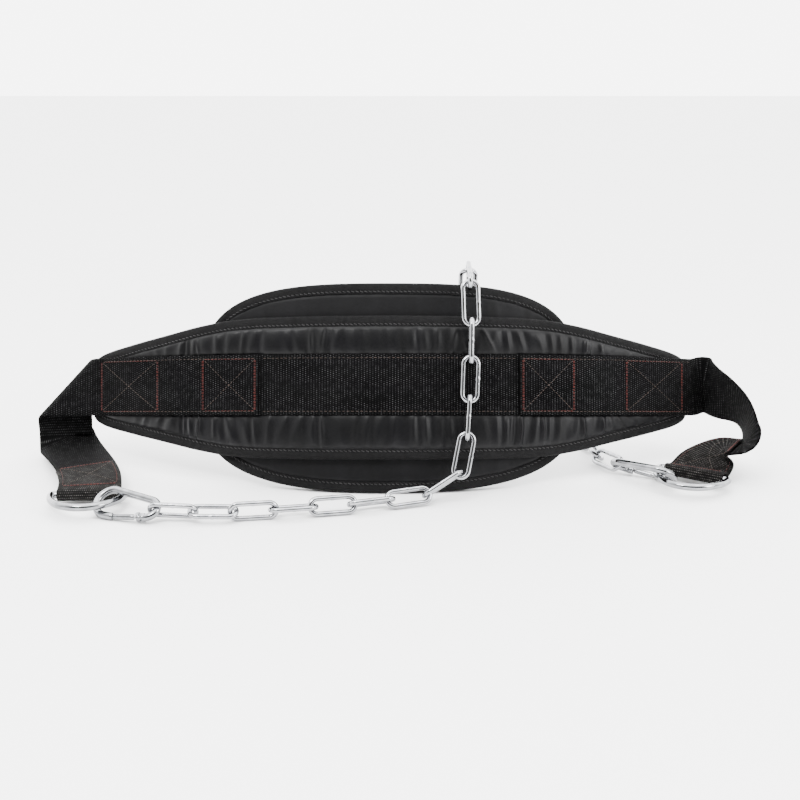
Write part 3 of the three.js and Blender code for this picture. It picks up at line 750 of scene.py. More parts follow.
@dataclass(frozen=True)
class Measures:
    """Sizes that several pieces share."""

    web_width: float = 50.0
    web_thickness: float = 1.8
    band_rise: float = 2.5
    band_length: float = 530.0
    panel_length: float = 552.0
    panel_height: float = 118.0
    panel_thickness: float = 6.5
    panel_crown: float = 3.2
    pad_length: float = 326.0
    pad_height: float = 172.6
    pad_thickness: float = 9.0
    tape_width: float = 9.0
    clearance: float = 0.3
    strap_inboard: float = 106.0
    strap_tail: float = 58.0
    left_reach: float = 260.0
    right_reach: float = 278.0

    @property
    def band_half(self) -> float:
        """Half the webbing's width."""
        return self.web_width / 2.0

    @property
    def band_w(self) -> float:
        """Height of the band's middle layer over the panel's back."""
        return self.panel_thickness + self.clearance + self.web_thickness / 2.0

    @property
    def strap_w(self) -> float:
        """Height of the straps' middle layer over the panel's back."""
        return self.band_w + self.web_thickness + self.clearance


SIZES = Measures()


def placed_curve() -> BeltCurve:
    """Finds where the belt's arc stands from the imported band.

    Returns:
        The belt's arc in the part's frame.
    """
    flat = BeltCurve(np.zeros(3))
    half = SIZES.web_thickness / 2.0
    u = np.linspace(-0.5, 0.5, 31) * SIZES.band_length
    corners = np.vstack([flat.point(u, SIZES.band_rise + v, SIZES.band_w) + side * half * flat.outward(u)
                         for v in (-SIZES.band_half, SIZES.band_half) for side in (-1.0, 1.0)])
    low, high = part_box("waist_band")
    centre = (np.array(low) + np.array(high)) / 2.0 / METRES
    return BeltCurve(centre - (corners.min(0) + corners.max(0)) / 2.0)


# Seams


@dataclass(frozen=True)
class Stitch:
    """A row's stitches: step from one to the next, length that shows, half thickness and slant."""

    pitch: float
    length: float
    radius: float
    slant: float = 0.0


TAPE_STITCH = Stitch(pitch=3.6, length=2.7, radius=0.42, slant=0.9)
BOX_SIDE_STITCH = Stitch(pitch=3.0, length=2.2, radius=0.2)
BOX_END_STITCH = Stitch(pitch=2.6, length=2.2, radius=0.25)
CROSS_STITCH = Stitch(pitch=3.2, length=2.2, radius=0.26)
LOWER_ROW_STITCH = Stitch(pitch=3.7, length=2.5, radius=0.24)
UPPER_ROW_STITCH = Stitch(pitch=3.7, length=2.5, radius=0.2)


@dataclass
class Seam:
    """Rows of stitches in one thread, kept as one piece."""

    name: str
    thread: bpy.types.Material
    draft: Draft = field(default_factory=Draft)
    sides: int = 6

    def run(self, points: np.ndarray, normals: np.ndarray, stitch: Stitch) -> None:
        """Sews stitches along a line.

        Args:
            points: Rows of points on the cloth.
            normals: Unit vectors out of the cloth at them.
            stitch: What each stitch is like.
        """
        run = travelled(points)
        count = int(run[-1] // stitch.pitch)
        start = (run[-1] - count * stitch.pitch + stitch.pitch - stitch.length) / 2.0
        shares = np.array([0.0, 0.12, 0.5, 0.88, 1.0])
        heights = np.array([-0.35, 0.35, 0.62, 0.35, -0.35]) * stitch.radius * 1.6
        widths = np.array([0.35, 0.85, 1.0, 0.85, 0.35]) * stitch.radius

        def at(values: np.ndarray, places: np.ndarray) -> np.ndarray:
            """Reads rows at places along the line."""
            return np.stack([np.interp(places, run, values[:, k]) for k in range(3)], axis=1)

        for k in range(count):
            places = start + k * stitch.pitch + shares * stitch.length
            centres = at(points, places)
            out = unit(at(normals, places))
            along = unit(np.gradient(centres, axis=0))
            across = unit(np.cross(along, out))
            centres = centres + out * heights[:, None] + across * ((shares - 0.5) * stitch.slant)[:, None]
            self.draft.sweep(centres, across, out, widths, self.sides)

    def finish(self, slot: Slot = Slot.WEBBING) -> bpy.types.Object:
        """Writes the seam's piece."""
        return self.draft.to_object(self.name, self.thread, slot)


# Padded pieces


class Edge:
    """Outline of a padded piece, with its upper and lower edge as functions of u."""

    def __init__(self, u: np.ndarray, top: np.ndarray, bottom: np.ndarray, corner: int) -> None:
        """Keeps the outline.

        Args:
            u: Places along the belt, rising.
            top: Height of the upper edge at them.
            bottom: Height of the lower edge at them.
            corner: How widely the corners are rounded, in outline steps.
        """
        upper = np.stack([u, top], axis=1)
        lower = np.stack([u, bottom], axis=1)[::-1]
        ring = resampled(np.vstack([upper, lower]), 1.6, closed=True)
        self.loop = resampled(rounded_loop(ring, corner), 1.6, closed=True)
        ahead = np.roll(self.loop, -1, axis=0) - np.roll(self.loop, 1, axis=0)
        self.inward = unit(np.stack([ahead[:, 1], -ahead[:, 0]], axis=1))
        self.length = float(travelled(np.vstack([self.loop, self.loop[:1]]))[-1])

    def inset(self, distance: np.ndarray | float) -> np.ndarray:
        """The outline moved inwards by a distance, or by one per point."""
        distance = np.asarray(distance, float)
        return self.loop + self.inward * (distance[:, None] if distance.ndim else distance)

    def span(self, distance: float, u: np.ndarray) -> tuple[np.ndarray, np.ndarray]:
        """Lower and upper height of the inset outline.

        Args:
            distance: How far the outline is moved inwards.
            u: Places along the belt.

        Returns:
            Lower heights and upper heights at those places.
        """
        line = self.inset(distance)
        upper = line[line[:, 1] > 0.0]
        lower = line[line[:, 1] <= 0.0]
        upper = upper[np.argsort(upper[:, 0])]
        lower = lower[np.argsort(lower[:, 0])]
        return np.interp(u, lower[:, 0], lower[:, 1]), np.interp(u, upper[:, 0], upper[:, 1])

    def reach(self, distance: float) -> float:
        """Largest u of the inset outline."""
        return float(self.inset(distance)[:, 0].max())


def panel_edge() -> Edge:
    """Outline of the long front panel, a lens with blunt tips."""
    rows = np.array([(0.0, 1.0), (0.2, 0.997), (0.4, 0.983), (0.5, 0.95), (0.6, 0.872), (0.7, 0.772),
                     (0.8, 0.682), (0.93, 0.56), (0.97, 0.5), (1.0, 0.42)])
    u = np.linspace(-1.0, 1.0, 401)
    height = np.interp(np.abs(u), rows[:, 0], rows[:, 1]) * SIZES.panel_height / 2.0
    return Edge(u * SIZES.panel_length / 2.0, height, -height, corner=5)


def pad_edge(curve: BeltCurve) -> Edge:
    """Outline of the back pad, with its lower edge pressed straight on the table."""
    roundness = 3.3
    angle = np.linspace(math.pi - math.radians(14.0), math.radians(14.0), 241)
    across = np.cos(angle)
    u = np.sign(across) * np.abs(across) ** (2.0 / roundness) * SIZES.pad_length / 2.0
    top = np.sin(angle) ** (2.0 / roundness) * SIZES.pad_height / 2.0
    bottom = -top + curve.sag(u) * math.tan(curve.lean) * np.sin(angle)
    return Edge(u, top, bottom, corner=3)


@dataclass
class EdgeTape:
    """Folded tape round the edge of a padded piece, with its seam."""

    name: str
    edge: Edge
    curve: BeltCurve
    front: float
    back: float
    wardrobe: Wardrobe
    seed: int

    def build(self) -> None:
        """Makes the tape and its two rows of stitches."""
        wide = SIZES.tape_width
        front, back = self.front, self.back
        profile = np.array([
            (wide, front - 0.25), (wide - 0.6, front), (wide - 1.9, front - 0.28), (wide - 3.2, front + 0.08),
            (3.4, front + 0.12), (1.5, front - 0.05), (0.4, front - 0.75), (0.0, front - 1.9),
            (0.0, back + 1.9), (0.4, back + 0.75), (1.5, back + 0.05), (wide - 3.2, back - 0.05),
            (wide - 1.9, back + 0.28), (wide - 0.6, back), (wide, back + 0.25), (wide, back + 1.3),
            (1.6, back + 1.4), (1.6, front - 1.4), (wide, front - 1.3),
        ])
        count = len(self.edge.loop)
        place = np.linspace(0.0, self.edge.length, count, endpoint=False)
        swell = 0.16 * wander(place, self.seed, 3, 9.0) + 0.12 * wander(place, self.seed + 1, 2, 31.0)
        lip = 0.28 * wander(place, self.seed + 2, 3, 14.0)
        rows = []
        for distance, height in profile:
            soft = np.clip((distance - 0.4) / 2.0, 0.0, 1.0)
            outer = 1.0 if height > (front + back) / 2.0 else -1.0
            shift = lip * np.clip((distance - 5.0) / 4.0, 0.0, 1.0)
            ring = self.edge.inset(distance + shift)
            rows.append(self.curve.point(ring[:, 0], ring[:, 1], height + outer * soft * swell))
        points = np.stack(rows, axis=1)
        around = travelled(np.vstack([profile, profile[:1]]))
        run = np.append(place, self.edge.length)
        uv = np.stack(np.meshgrid(run, around, indexing="ij"), axis=2)
        draft = Draft()
        draft.grid(points, uv, closed_rows=True, closed_columns=True)
        draft.to_object(f"{self.name}_tape", self.wardrobe.tape, Slot.TAPE, replaced=(self.name,))
        seam = Seam(f"{self.name}_seam", self.wardrobe.dark_thread)
        for height, face in ((front - 0.2, 1.0), (back + 0.2, -1.0)):
            ring = self.edge.inset(wide - 1.9)
            ring = np.vstack([ring, ring[:1]])
            lift = np.append(swell, swell[0]) * face
            line = self.curve.point(ring[:, 0], ring[:, 1], height + lift)
            seam.run(line, face * self.curve.outward(ring[:, 0]), TAPE_STITCH)
        seam.finish(Slot.TAPE)


@dataclass(frozen=True)
class Crease:
    """A sharp fold in the panel's open cloth, on the panel's upper or lower half."""

    place: float
    width: float
    rise: float
    tilt: float
    upper: bool


PANEL_CREASES = (
    Crease(-176.5, 1.9, -2.2, 0.06, True), Crease(-168.0, 1.6, -1.8, -0.05, True),
    Crease(-158.0, 1.3, 1.5, -0.1, True), Crease(-58.0, 1.8, -0.9, 0.16, True),
    Crease(76.0, 1.6, 1.2, -0.4, True), Crease(100.0, 1.6, 1.6, -0.5, True),
    Crease(162.0, 1.6, 2.2, 0.1, True), Crease(173.5, 1.6, 2.0, -0.12, True),
    Crease(184.0, 1.4, 1.4, -0.1, True), Crease(-176.5, 1.9, -2.0, 0.0, False),
    Crease(-158.0, 1.6, 2.4, 0.06, False), Crease(-146.0, 1.6, 0.9, 0.0, False),
    Crease(96.0, 1.6, 1.8, 0.02, False), Crease(109.0, 1.6, 2.0, 0.03, False),
    Crease(127.0, 1.6, 2.1, 0.0, False), Crease(162.0, 1.9, 2.4, -0.03, False),
    Crease(184.0, 1.8, 1.9, 0.05, False),
)


@dataclass
class PaddedPanel:
    """The long front panel: foam under glossy nylon that gathers above and below the band."""

    edge: Edge
    curve: BeltCurve
    wardrobe: Wardrobe
    pucker: float = 11.5
    columns: int = 720
    rim: float = 2.2

    def gathers(self, u: np.ndarray, share: np.ndarray, seed: int) -> np.ndarray:
        """Height of the gathers.

        Args:
            u: Places along the belt.
            share: 0 at the band's seam to 1 at the tape's seam.
            seed: Which set of gathers.

        Returns:
            Height over the plain crown, in millimetres.
        """
        lean = 9.0 * wander(u, seed, 2, 120.0)
        place = u + lean * (share - 0.5) + 5.2 * wander(u, seed + 1, 3, 52.0)
        phase = place * math.pi / self.pucker
        ridge = 1.0 - 2.0 * np.abs(np.cos(phase)) ** 1.6
        strength = 0.62 + 0.7 * wander(u, seed + 2, 3, 75.0)
        finer = 0.2 * (1.0 - 2.0 * np.abs(np.cos(phase * 2.3 + 2.0 * wander(u, seed + 3, 2, 64.0))))
        near = np.exp(-(np.minimum(share, 1.0 - share) / 0.22) ** 2)
        return strength * (ridge * (0.85 + 0.25 * near) + finer * near)

    def front(self, u: np.ndarray, v: np.ndarray, low: np.ndarray, high: np.ndarray) -> np.ndarray:
        """Height of the panel's front face.

        Args:
            u: Places along the belt.
            v: Places up it.
            low: Lower edge of the open cloth at u.
            high: Upper edge of it at u.

        Returns:
            Height over the panel's back.
        """
        base = SIZES.panel_thickness - 0.45
        height = np.full_like(v, base)
        for sign, seed in ((1.0, 11), (-1.0, 29)):
            seam = SIZES.band_rise + sign * (SIZES.band_half - 1.0)
            limit = high if sign > 0 else low
            room = np.maximum(np.abs(limit - seam), 0.1)
            share = np.clip((v - seam) * sign / room, 0.0, 1.0)
            inside = (share > 0.0) & (share < 1.0) & ((limit - seam) * sign > 1.0)
            full = np.sin(math.pi * share) ** 0.4 * np.clip(room / 20.0, 0.0, 1.0)
            lift = full * (SIZES.panel_crown - 0.9 + self.gathers(u, share, seed))
            height = np.where(inside, base + lift, height)
        for crease in PANEL_CREASES:
            off = u - crease.place - crease.tilt * v
            half = (v > SIZES.band_rise) if crease.upper else (v < SIZES.band_rise)
            rise = crease.rise * np.exp(-(off / crease.width) ** 2) * np.clip((height - base) / 2.0, 0.0, 1.0)
            height = height + np.where(half, rise, 0.0)
        return height

    def build(self) -> None:
        """Makes the panel."""
        half = self.edge.reach(self.rim)
        u = np.linspace(-half, half, self.columns)
        low_rim, high_rim = self.edge.span(self.rim, u)
        low, high = self.edge.span(SIZES.tape_width - 0.4, u)
        narrow = np.maximum(half - np.abs(u), 0.0)
        inner = np.clip(narrow / (SIZES.tape_width - self.rim), 0.0, 1.0)
        low = low_rim + (low - low_rim) * inner
        high = high_rim + (high - high_rim) * inner
        shares = np.concatenate([np.linspace(0.0, 0.5, 30), np.linspace(0.5, 1.0, 31)[1:]])
        v = low[:, None] + (high - low)[:, None] * shares[None, :]
        w = self.front(u[:, None] + 0.0 * v, v, low[:, None], high[:, None])
        rim_front = SIZES.panel_thickness - 1.6
        w = rim_front + (w - rim_front) * smoothstep(inner[:, None], 0.7, 1.0)
        v_full = np.hstack([low_rim[:, None], (low_rim * 0.25 + low * 0.75)[:, None], v,
                            (high_rim * 0.25 + high * 0.75)[:, None], high_rim[:, None]])
        edge_w = np.full((len(u), 2), rim_front)
        w_full = np.hstack([edge_w, w, edge_w])
        back_v = np.linspace(0.0, 1.0, 18)[None, :]
        v_back = high_rim[:, None] + (low_rim - high_rim)[:, None] * back_v
        away = np.minimum(np.minimum(high_rim[:, None] - v_back, v_back - low_rim[:, None]), narrow[:, None])
        ripples = 0.12 * wander(u, 5, 3, 23.0)[:, None] * smoothstep(away, 7.0, 12.0)
        w_back = 1.7 - 1.7 * smoothstep(away, 6.2, 9.0) + ripples
        v_all = np.hstack([v_full, v_back])
        w_all = np.hstack([w_full, w_back])
        points = self.curve.point(u[:, None], v_all, w_all)
        columns = v_all.shape[1]
        uv = np.stack([np.repeat(u[:, None], columns + 1, axis=1),
                       np.hstack([v_all, v_all[:, :1] - 1.0])], axis=2)
        draft = Draft()
        draft.grid(points, uv, closed_columns=True, capped=True)
        piece = draft.to_object("panel_cloth", self.wardrobe.panel, Slot.PANEL, replaced=("main_panel",))


@dataclass
class BackPad:
    """The padded plate behind the panel."""

    edge: Edge
    curve: BeltCurve
    wardrobe: Wardrobe
    columns: int = 260
    rim: float = 2.2
    crown: float = 3.0
    edge_step: float = 1.75

    def build(self) -> None:
        """Makes the pad."""
        front = -SIZES.clearance
        back = front - SIZES.pad_thickness
        half = self.edge.reach(self.rim) - 0.4
        u = np.linspace(-half, half, self.columns)
        low, high = self.edge.span(self.rim, u)
        shares = (1.0 - np.cos(np.linspace(0.0, math.pi, 64))) / 2.0
        v = low[:, None] + (high - low)[:, None] * shares[None, :]
        ends = (half - np.abs(u))[:, None] + self.rim
        away = np.minimum(np.minimum(v - low[:, None], high[:, None] - v) + self.rim, ends)
        open_share = smoothstep(away, SIZES.tape_width - 1.2, SIZES.tape_width + 1.4)
        creases = (wander(u[:, None] + 0.12 * v, 41, 3, 26.0) * np.exp(-((away - 9.0) / 14.0) ** 2) * 0.5
                   + 0.22 * wander(u[:, None] * 0.6 + 0.8 * v, 47, 3, 70.0))
        inner = front - self.edge_step
        w_front = inner + (front - 0.25 - inner + np.minimum(creases, 0.2) * 0.5) * open_share
        toward_ends = np.clip(2.4 * (1.0 - np.abs(u) / (SIZES.pad_length / 2.0)), 0.0, 1.0)
        crown = self.crown * np.sin(math.pi * shares)[None, :] ** 0.6 * toward_ends[:, None]
        outer = back + self.edge_step
        w_back = outer + (back + 0.3 - outer - crown - creases * 0.9) * open_share
        v_all = np.hstack([v, v[:, ::-1]])
        w_all = np.hstack([w_front, w_back[:, ::-1]])
        points = self.curve.point(u[:, None], v_all, w_all)
        uv = np.stack([np.repeat(u[:, None], v_all.shape[1] + 1, axis=1),
                       np.hstack([v_all, v_all[:, :1]])], axis=2)
        draft = Draft()
        draft.grid(points, uv, closed_columns=True, capped=True)
        piece = draft.to_object("pad_cloth", self.wardrobe.pad, Slot.PAD, replaced=("back_pad",))


# Rings and hooks


@dataclass(frozen=True)
class RingPlace:
    """Where a D-ring lies, measured from the belt's middle, and where on its bow the hook holds it."""

    x: float
    y: float
    turn: float
    hold: float
    bar_rise: float
    wire: float = 6.0
    inner_width: float = 53.0
    inner_depth: float = 31.0
    hook_height: float = 3.0 + 12.0 * math.sin(math.radians(36.0))

    @property
    def across(self) -> np.ndarray:
        """Unit vector along the ring's bar."""
        turn = math.radians(self.turn)
        return np.array([math.cos(turn), math.sin(turn), 0.0])

    @property
    def bar(self) -> np.ndarray:
        """Middle of the bar."""
        height = self.wire / 2.0 + SIZES.clearance + SIZES.web_thickness + 0.2 + self.bar_rise
        return np.array([self.x, self.y, height]) + TABLE_SHIFT

    @property
    def bar_half(self) -> float:
        """Half the bar's length."""
        return self.inner_width / 2.0 + self.wire / 2.0

    @property
    def depth(self) -> float:
        """Depth from the bar to the bow."""
        return self.inner_depth + self.wire

    @property
    def forward(self) -> np.ndarray:
        """Unit vector from the bar to the bow."""
        turn, hold = math.radians(self.turn), math.radians(self.hold)
        level = np.array([math.sin(turn), -math.cos(turn), 0.0])
        rise = self.bar[2] - TABLE_SHIFT[2]
        lift = min(0.6, (self.hook_height - rise) / (self.depth * math.sin(hold)))
        return level * math.cos(math.asin(lift)) + Z_AXIS * lift

    def point(self, angle: np.ndarray) -> np.ndarray:
        """Points of the bow at angles from the bar's right end."""
        angle = np.asarray(angle, float)[..., None]
        return (self.bar + self.across * self.bar_half * np.cos(angle)
                + self.forward * self.depth * np.sin(angle))


@dataclass
class DRing:
    """Bent wire D-ring."""

    name: str
    place: RingPlace
    wardrobe: Wardrobe

    def build(self) -> None:
        """Makes the ring."""
        bow = self.place.point(np.linspace(0.0, math.pi, 61))
        bar = self.place.bar + np.linspace(-0.97, 0.97, 20)[:, None] * self.place.bar_half * self.place.across
        loop = rounded_loop(resampled(np.vstack([bow, bar]), 1.2, closed=True), 2)
        normal = unit(np.cross(self.place.across, self.place.forward))
        along = unit(np.roll(loop, -1, axis=0) - np.roll(loop, 1, axis=0))
        outward = np.cross(along, normal)
        draft = Draft()
        radii = np.full(len(loop), self.place.wire / 2.0)
        draft.sweep(loop, outward, np.broadcast_to(normal, loop.shape), radii, sides=20, closed=True)
        draft.to_object(f"{self.name}_wire", self.wardrobe.bright, Slot.BRIGHT, replaced=(self.name,))


@dataclass
class SpringHook:
    """Spring hook of bent wire with its gate."""

    side: str
    ring: RingPlace
    heading: float
    slip: float
    wardrobe: Wardrobe
    wire: float = 6.0
    length: float = 60.0
    wide: float = 12.0
    narrow: float = 8.0
    roll: float = math.radians(36.0)
    gate_wire: float = 4.6
    gate_gap: float = 0.7
    hinge_back: float = 4.0
    hinge_out: float = 0.6
    nose_ahead: float = 8.0
    cheek_low: float = 1.6
    cheek_high: float = 3.0
    cheek_radius: float = 3.1
    pin_radius: float = 1.0
    pin_half: float = 3.3
    eye_radius: float = 2.9
    eye_half: float = 1.3

    @property
    def wide_centre(self) -> float:
        """Place of the wide end's centre."""
        return -(self.length - self.wire) / 2.0 + self.wide

    @property
    def narrow_centre(self) -> float:
        """Place of the narrow end's centre."""
        return (self.length - self.wire) / 2.0 - self.narrow

    @property
    def hinge(self) -> np.ndarray:
        """Place of the gate's pin in the hook's plane."""
        return np.array([self.narrow_centre - self.hinge_back, -self.narrow - self.hinge_out, 0.0])

    @property
    def nose(self) -> np.ndarray:
        """Place of the hook's nose in its plane."""
        return np.array([self.wide_centre + self.nose_ahead, -self.wide, 0.0])

    def axes(self) -> tuple[np.ndarray, np.ndarray]:
        """Frame of the hook.

        Returns:
            Its middle, and its long, upward and normal unit vectors as rows.
        """
        turn = math.radians(self.heading)
        along = np.array([math.cos(turn), math.sin(turn), 0.0])
        level = np.cross(Z_AXIS, along)
        upward = level * math.cos(self.roll) + Z_AXIS * math.sin(self.roll)
        middle = self.ring.point(math.radians(self.ring.hold)) + along * (-self.wide_centre - self.slip)
        middle[2] = self.ring.hook_height + TABLE_SHIFT[2]
        return middle, np.stack([along, upward, np.cross(along, upward)])

    def placed(self, local: np.ndarray) -> np.ndarray:
        """Moves points from the hook's plane to the part's frame."""
        middle, axes = self.axes()
        return middle + local @ axes

    def wire_run(self, draft: Draft, local: np.ndarray, radii: np.ndarray, sides: int = 18) -> None:
        """Sweeps a wire along a line in the hook's plane.

        Args:
            draft: Where the wire goes.
            local: Rows of points in the plane.
            radii: Wire radius at each of them.
            sides: Sides of the wire.
        """
        _, axes = self.axes()
        centres = self.placed(local)
        along = unit(np.gradient(centres, axis=0))
        normal = np.broadcast_to(axes[2], centres.shape)
        draft.sweep(centres, unit(np.cross(along, normal)), normal, radii, sides)

    def disc(self, draft: Draft, centre: np.ndarray, radius: float, low: float, high: float,
             edge: float = 0.35) -> None:
        """Adds a turned disc with eased rims, square to the hook's plane.

        Args:
            draft: Where the disc goes.
            centre: Its centre in the plane.
            radius: Its radius.
            low: Its lower face.
            high: Its upper face.
            edge: Size of the eased rims.
        """
        _, axes = self.axes()
        heights = np.array([low, low + edge, high - edge, high])
        radii = np.array([radius - edge, radius, radius, radius - edge])
        centres = self.placed(centre + heights[:, None] * Z_AXIS)
        shape = centres.shape
        draft.sweep(centres, np.broadcast_to(axes[0], shape), np.broadcast_to(axes[1], shape), radii, 24)

    @staticmethod
    def arc(middle: float, radius: float, start: float, end: float, steps: int) -> np.ndarray:
        """Points of an arc in the hook's plane, by angles in degrees."""
        angle = np.radians(np.linspace(start, end, steps))
        return np.stack([middle + radius * np.cos(angle), radius * np.sin(angle), np.zeros(steps)], axis=1)

    def build(self) -> None:
        """Makes the hook and its gate."""
        start = self.hinge + np.array([3.4, 0.4, 0.0])
        line = np.vstack([start, self.arc(self.narrow_centre, self.narrow, -84.0, 86.0, 26),
                          self.arc(self.wide_centre, self.wide, 94.0, 264.0, 34), self.nose])
        line = resampled(line, 1.0)
        body = Draft()
        run = travelled(line)
        radii = np.full(len(line), self.wire / 2.0)
        radii *= 1.0 - 0.14 * smoothstep(-(run[-1] - run), -1.1, 0.0)
        self.wire_run(body, line, radii)
        for sign in (-1.0, 1.0):
            low, high = sorted((sign * self.cheek_low, sign * self.cheek_high))
            self.disc(body, self.hinge, self.cheek_radius, low, high)
            cheek = self.hinge + np.array([[0.4, 0.2, (low + high) / 2.0], [5.4, 0.5, (low + high) / 2.0]])
            self.cheek(body, cheek, 2.4, (high - low) / 2.0)
        self.disc(body, self.hinge, self.pin_radius, -self.pin_half, self.pin_half, 0.2)
        body.to_object(f"{self.side}_hook_wire", self.wardrobe.bright, Slot.BRIGHT,
                       replaced=(f"{self.side}_hook",))
        self.build_gate()

    def cheek(self, draft: Draft, ends: np.ndarray, half_width: float, half_height: float) -> None:
        """Adds a flat cheek plate between two points.

        Args:
            draft: Where the plate goes.
            ends: Its two ends in the hook's plane.
            half_width: Half its width.
            half_height: Half its thickness.
        """
        _, axes = self.axes()
        centres = self.placed(np.linspace(ends[0], ends[1], 4))
        along = unit(centres[-1] - centres[0])
        side = unit(np.cross(axes[2], along)) * half_width
        up = axes[2] * half_height
        corners = np.array([(-0.9, -1), (0.9, -1), (1, -0.6), (1, 0.6),
                            (0.9, 1), (-0.9, 1), (-1, 0.6), (-1, -0.6)])
        points = centres[:, None, :] + corners[None, :, :1] * side + corners[None, :, 1:] * up
        uv = np.zeros((4, 9, 2))
        uv[:, :, 0] = np.arange(4)[:, None]
        uv[:, :, 1] = np.arange(9)[None, :]
        draft.grid(points, uv, closed_columns=True, capped=True)

    def build_gate(self) -> None:
        """Makes the gate, from its eye to its free tip."""
        way = unit(self.nose - self.hinge)
        reach = float(np.linalg.norm(self.nose - self.hinge))
        full, tip = self.gate_wire / 2.0, reach - self.gate_gap
        place_and_radius = np.array([
            (1.6, 1.15), (2.6, 1.2), (3.5, 1.5), (4.2, 2.05), (5.0, full), (8.0, full), (12.0, full),
            (reach - 4.6, full), (reach - 3.6, full), (reach - 3.0, full * 0.9), (reach - 1.6, full * 0.97),
            (tip - 0.3, full * 0.95), (tip, full * 0.8),
        ])
        draft = Draft()
        self.disc(draft, self.hinge, self.eye_radius, -self.eye_half, self.eye_half, 0.25)
        self.wire_run(draft, self.hinge + place_and_radius[:, :1] * way, place_and_radius[:, 1], 16)
        gate = f"{self.side}_gate"
        draft.to_object(f"{gate}_bar", self.wardrobe.bright, Slot.BRIGHT, gate, (gate,))


# Chain


@dataclass
class Chain:
    """Welded links, each set where its solid lies."""

    wardrobe: Wardrobe
    count: int = 26
    length: float = 40.0
    width: float = 16.0
    wire: float = 4.0
    weld_bead: float = 0.13
    weld_groove: float = 0.05

    def frame_of(self, name: str) -> tuple[np.ndarray, np.ndarray]:
        """Finds how a link's solid lies.

        Args:
            name: Name of the solid.

        Returns:
            Its middle, and its long, cross and normal unit vectors as rows.
        """
        mesh = bpy.data.objects[name].data
        places = np.empty(len(mesh.vertices) * 3)
        mesh.vertices.foreach_get("co", places)
        places = places.reshape(-1, 3) / METRES
        rough = places - places.mean(0)
        _, axes = np.linalg.eigh(rough.T @ rough)
        axes = axes.T[::-1]
        local = places @ axes.T
        middle = (local.min(0) + local.max(0)) / 2.0 @ axes
        if axes[1] @ np.array([0.2, -0.7, 0.7]) < 0.0:
            axes[1] = -axes[1]
        axes[2] = np.cross(axes[0], axes[1])
        return middle, axes

    def path(self) -> tuple[np.ndarray, np.ndarray]:
        """Middle line of a link in its own plane.

        Returns:
            Its points and the wire's radius at them, with the weld's swelling.
        """
        bend = (self.width - self.wire) / 2.0
        straight = (self.length - self.width) / 2.0
        angle = np.linspace(-math.pi / 2.0, math.pi / 2.0, 15)
        right = np.stack([straight + bend * np.cos(angle), bend * np.sin(angle)], axis=1)
        side = np.stack([np.linspace(straight, -straight, 20)[1:-1], np.full(18, bend)], axis=1)
        left = -right
        other = np.stack([np.linspace(-straight, straight, 8)[1:-1], np.full(6, -bend)], axis=1)
        line = np.vstack([right, side, left, other])
        line = np.hstack([line, np.zeros((len(line), 1))])
        on_welded_side = line[:, 1] > bend - 0.01
        from_weld = np.abs(line[:, 0])
        bead = self.weld_bead * np.exp(-(from_weld / 1.2) ** 2)
        groove = self.weld_groove * np.exp(-((from_weld - 2.1) / 0.7) ** 2)
        return line, self.wire / 2.0 * (1.0 + np.where(on_welded_side, bead - groove, 0.0))

    def build(self) -> None:
        """Makes every link."""
        line, radii = self.path()
        for number in range(1, self.count + 1):
            name = f"link_{number:02d}"
            middle, axes = self.frame_of(name)
            loop = middle + line @ axes
            along = unit(np.roll(loop, -1, axis=0) - np.roll(loop, 1, axis=0))
            normal = np.broadcast_to(axes[2], loop.shape)
            draft = Draft()
            draft.sweep(loop, unit(np.cross(along, normal)), normal, radii, sides=16, closed=True)
            draft.to_object(f"{name}_wire", self.wardrobe.zinc, Slot.CHAIN, replaced=(name,))


# Webbing


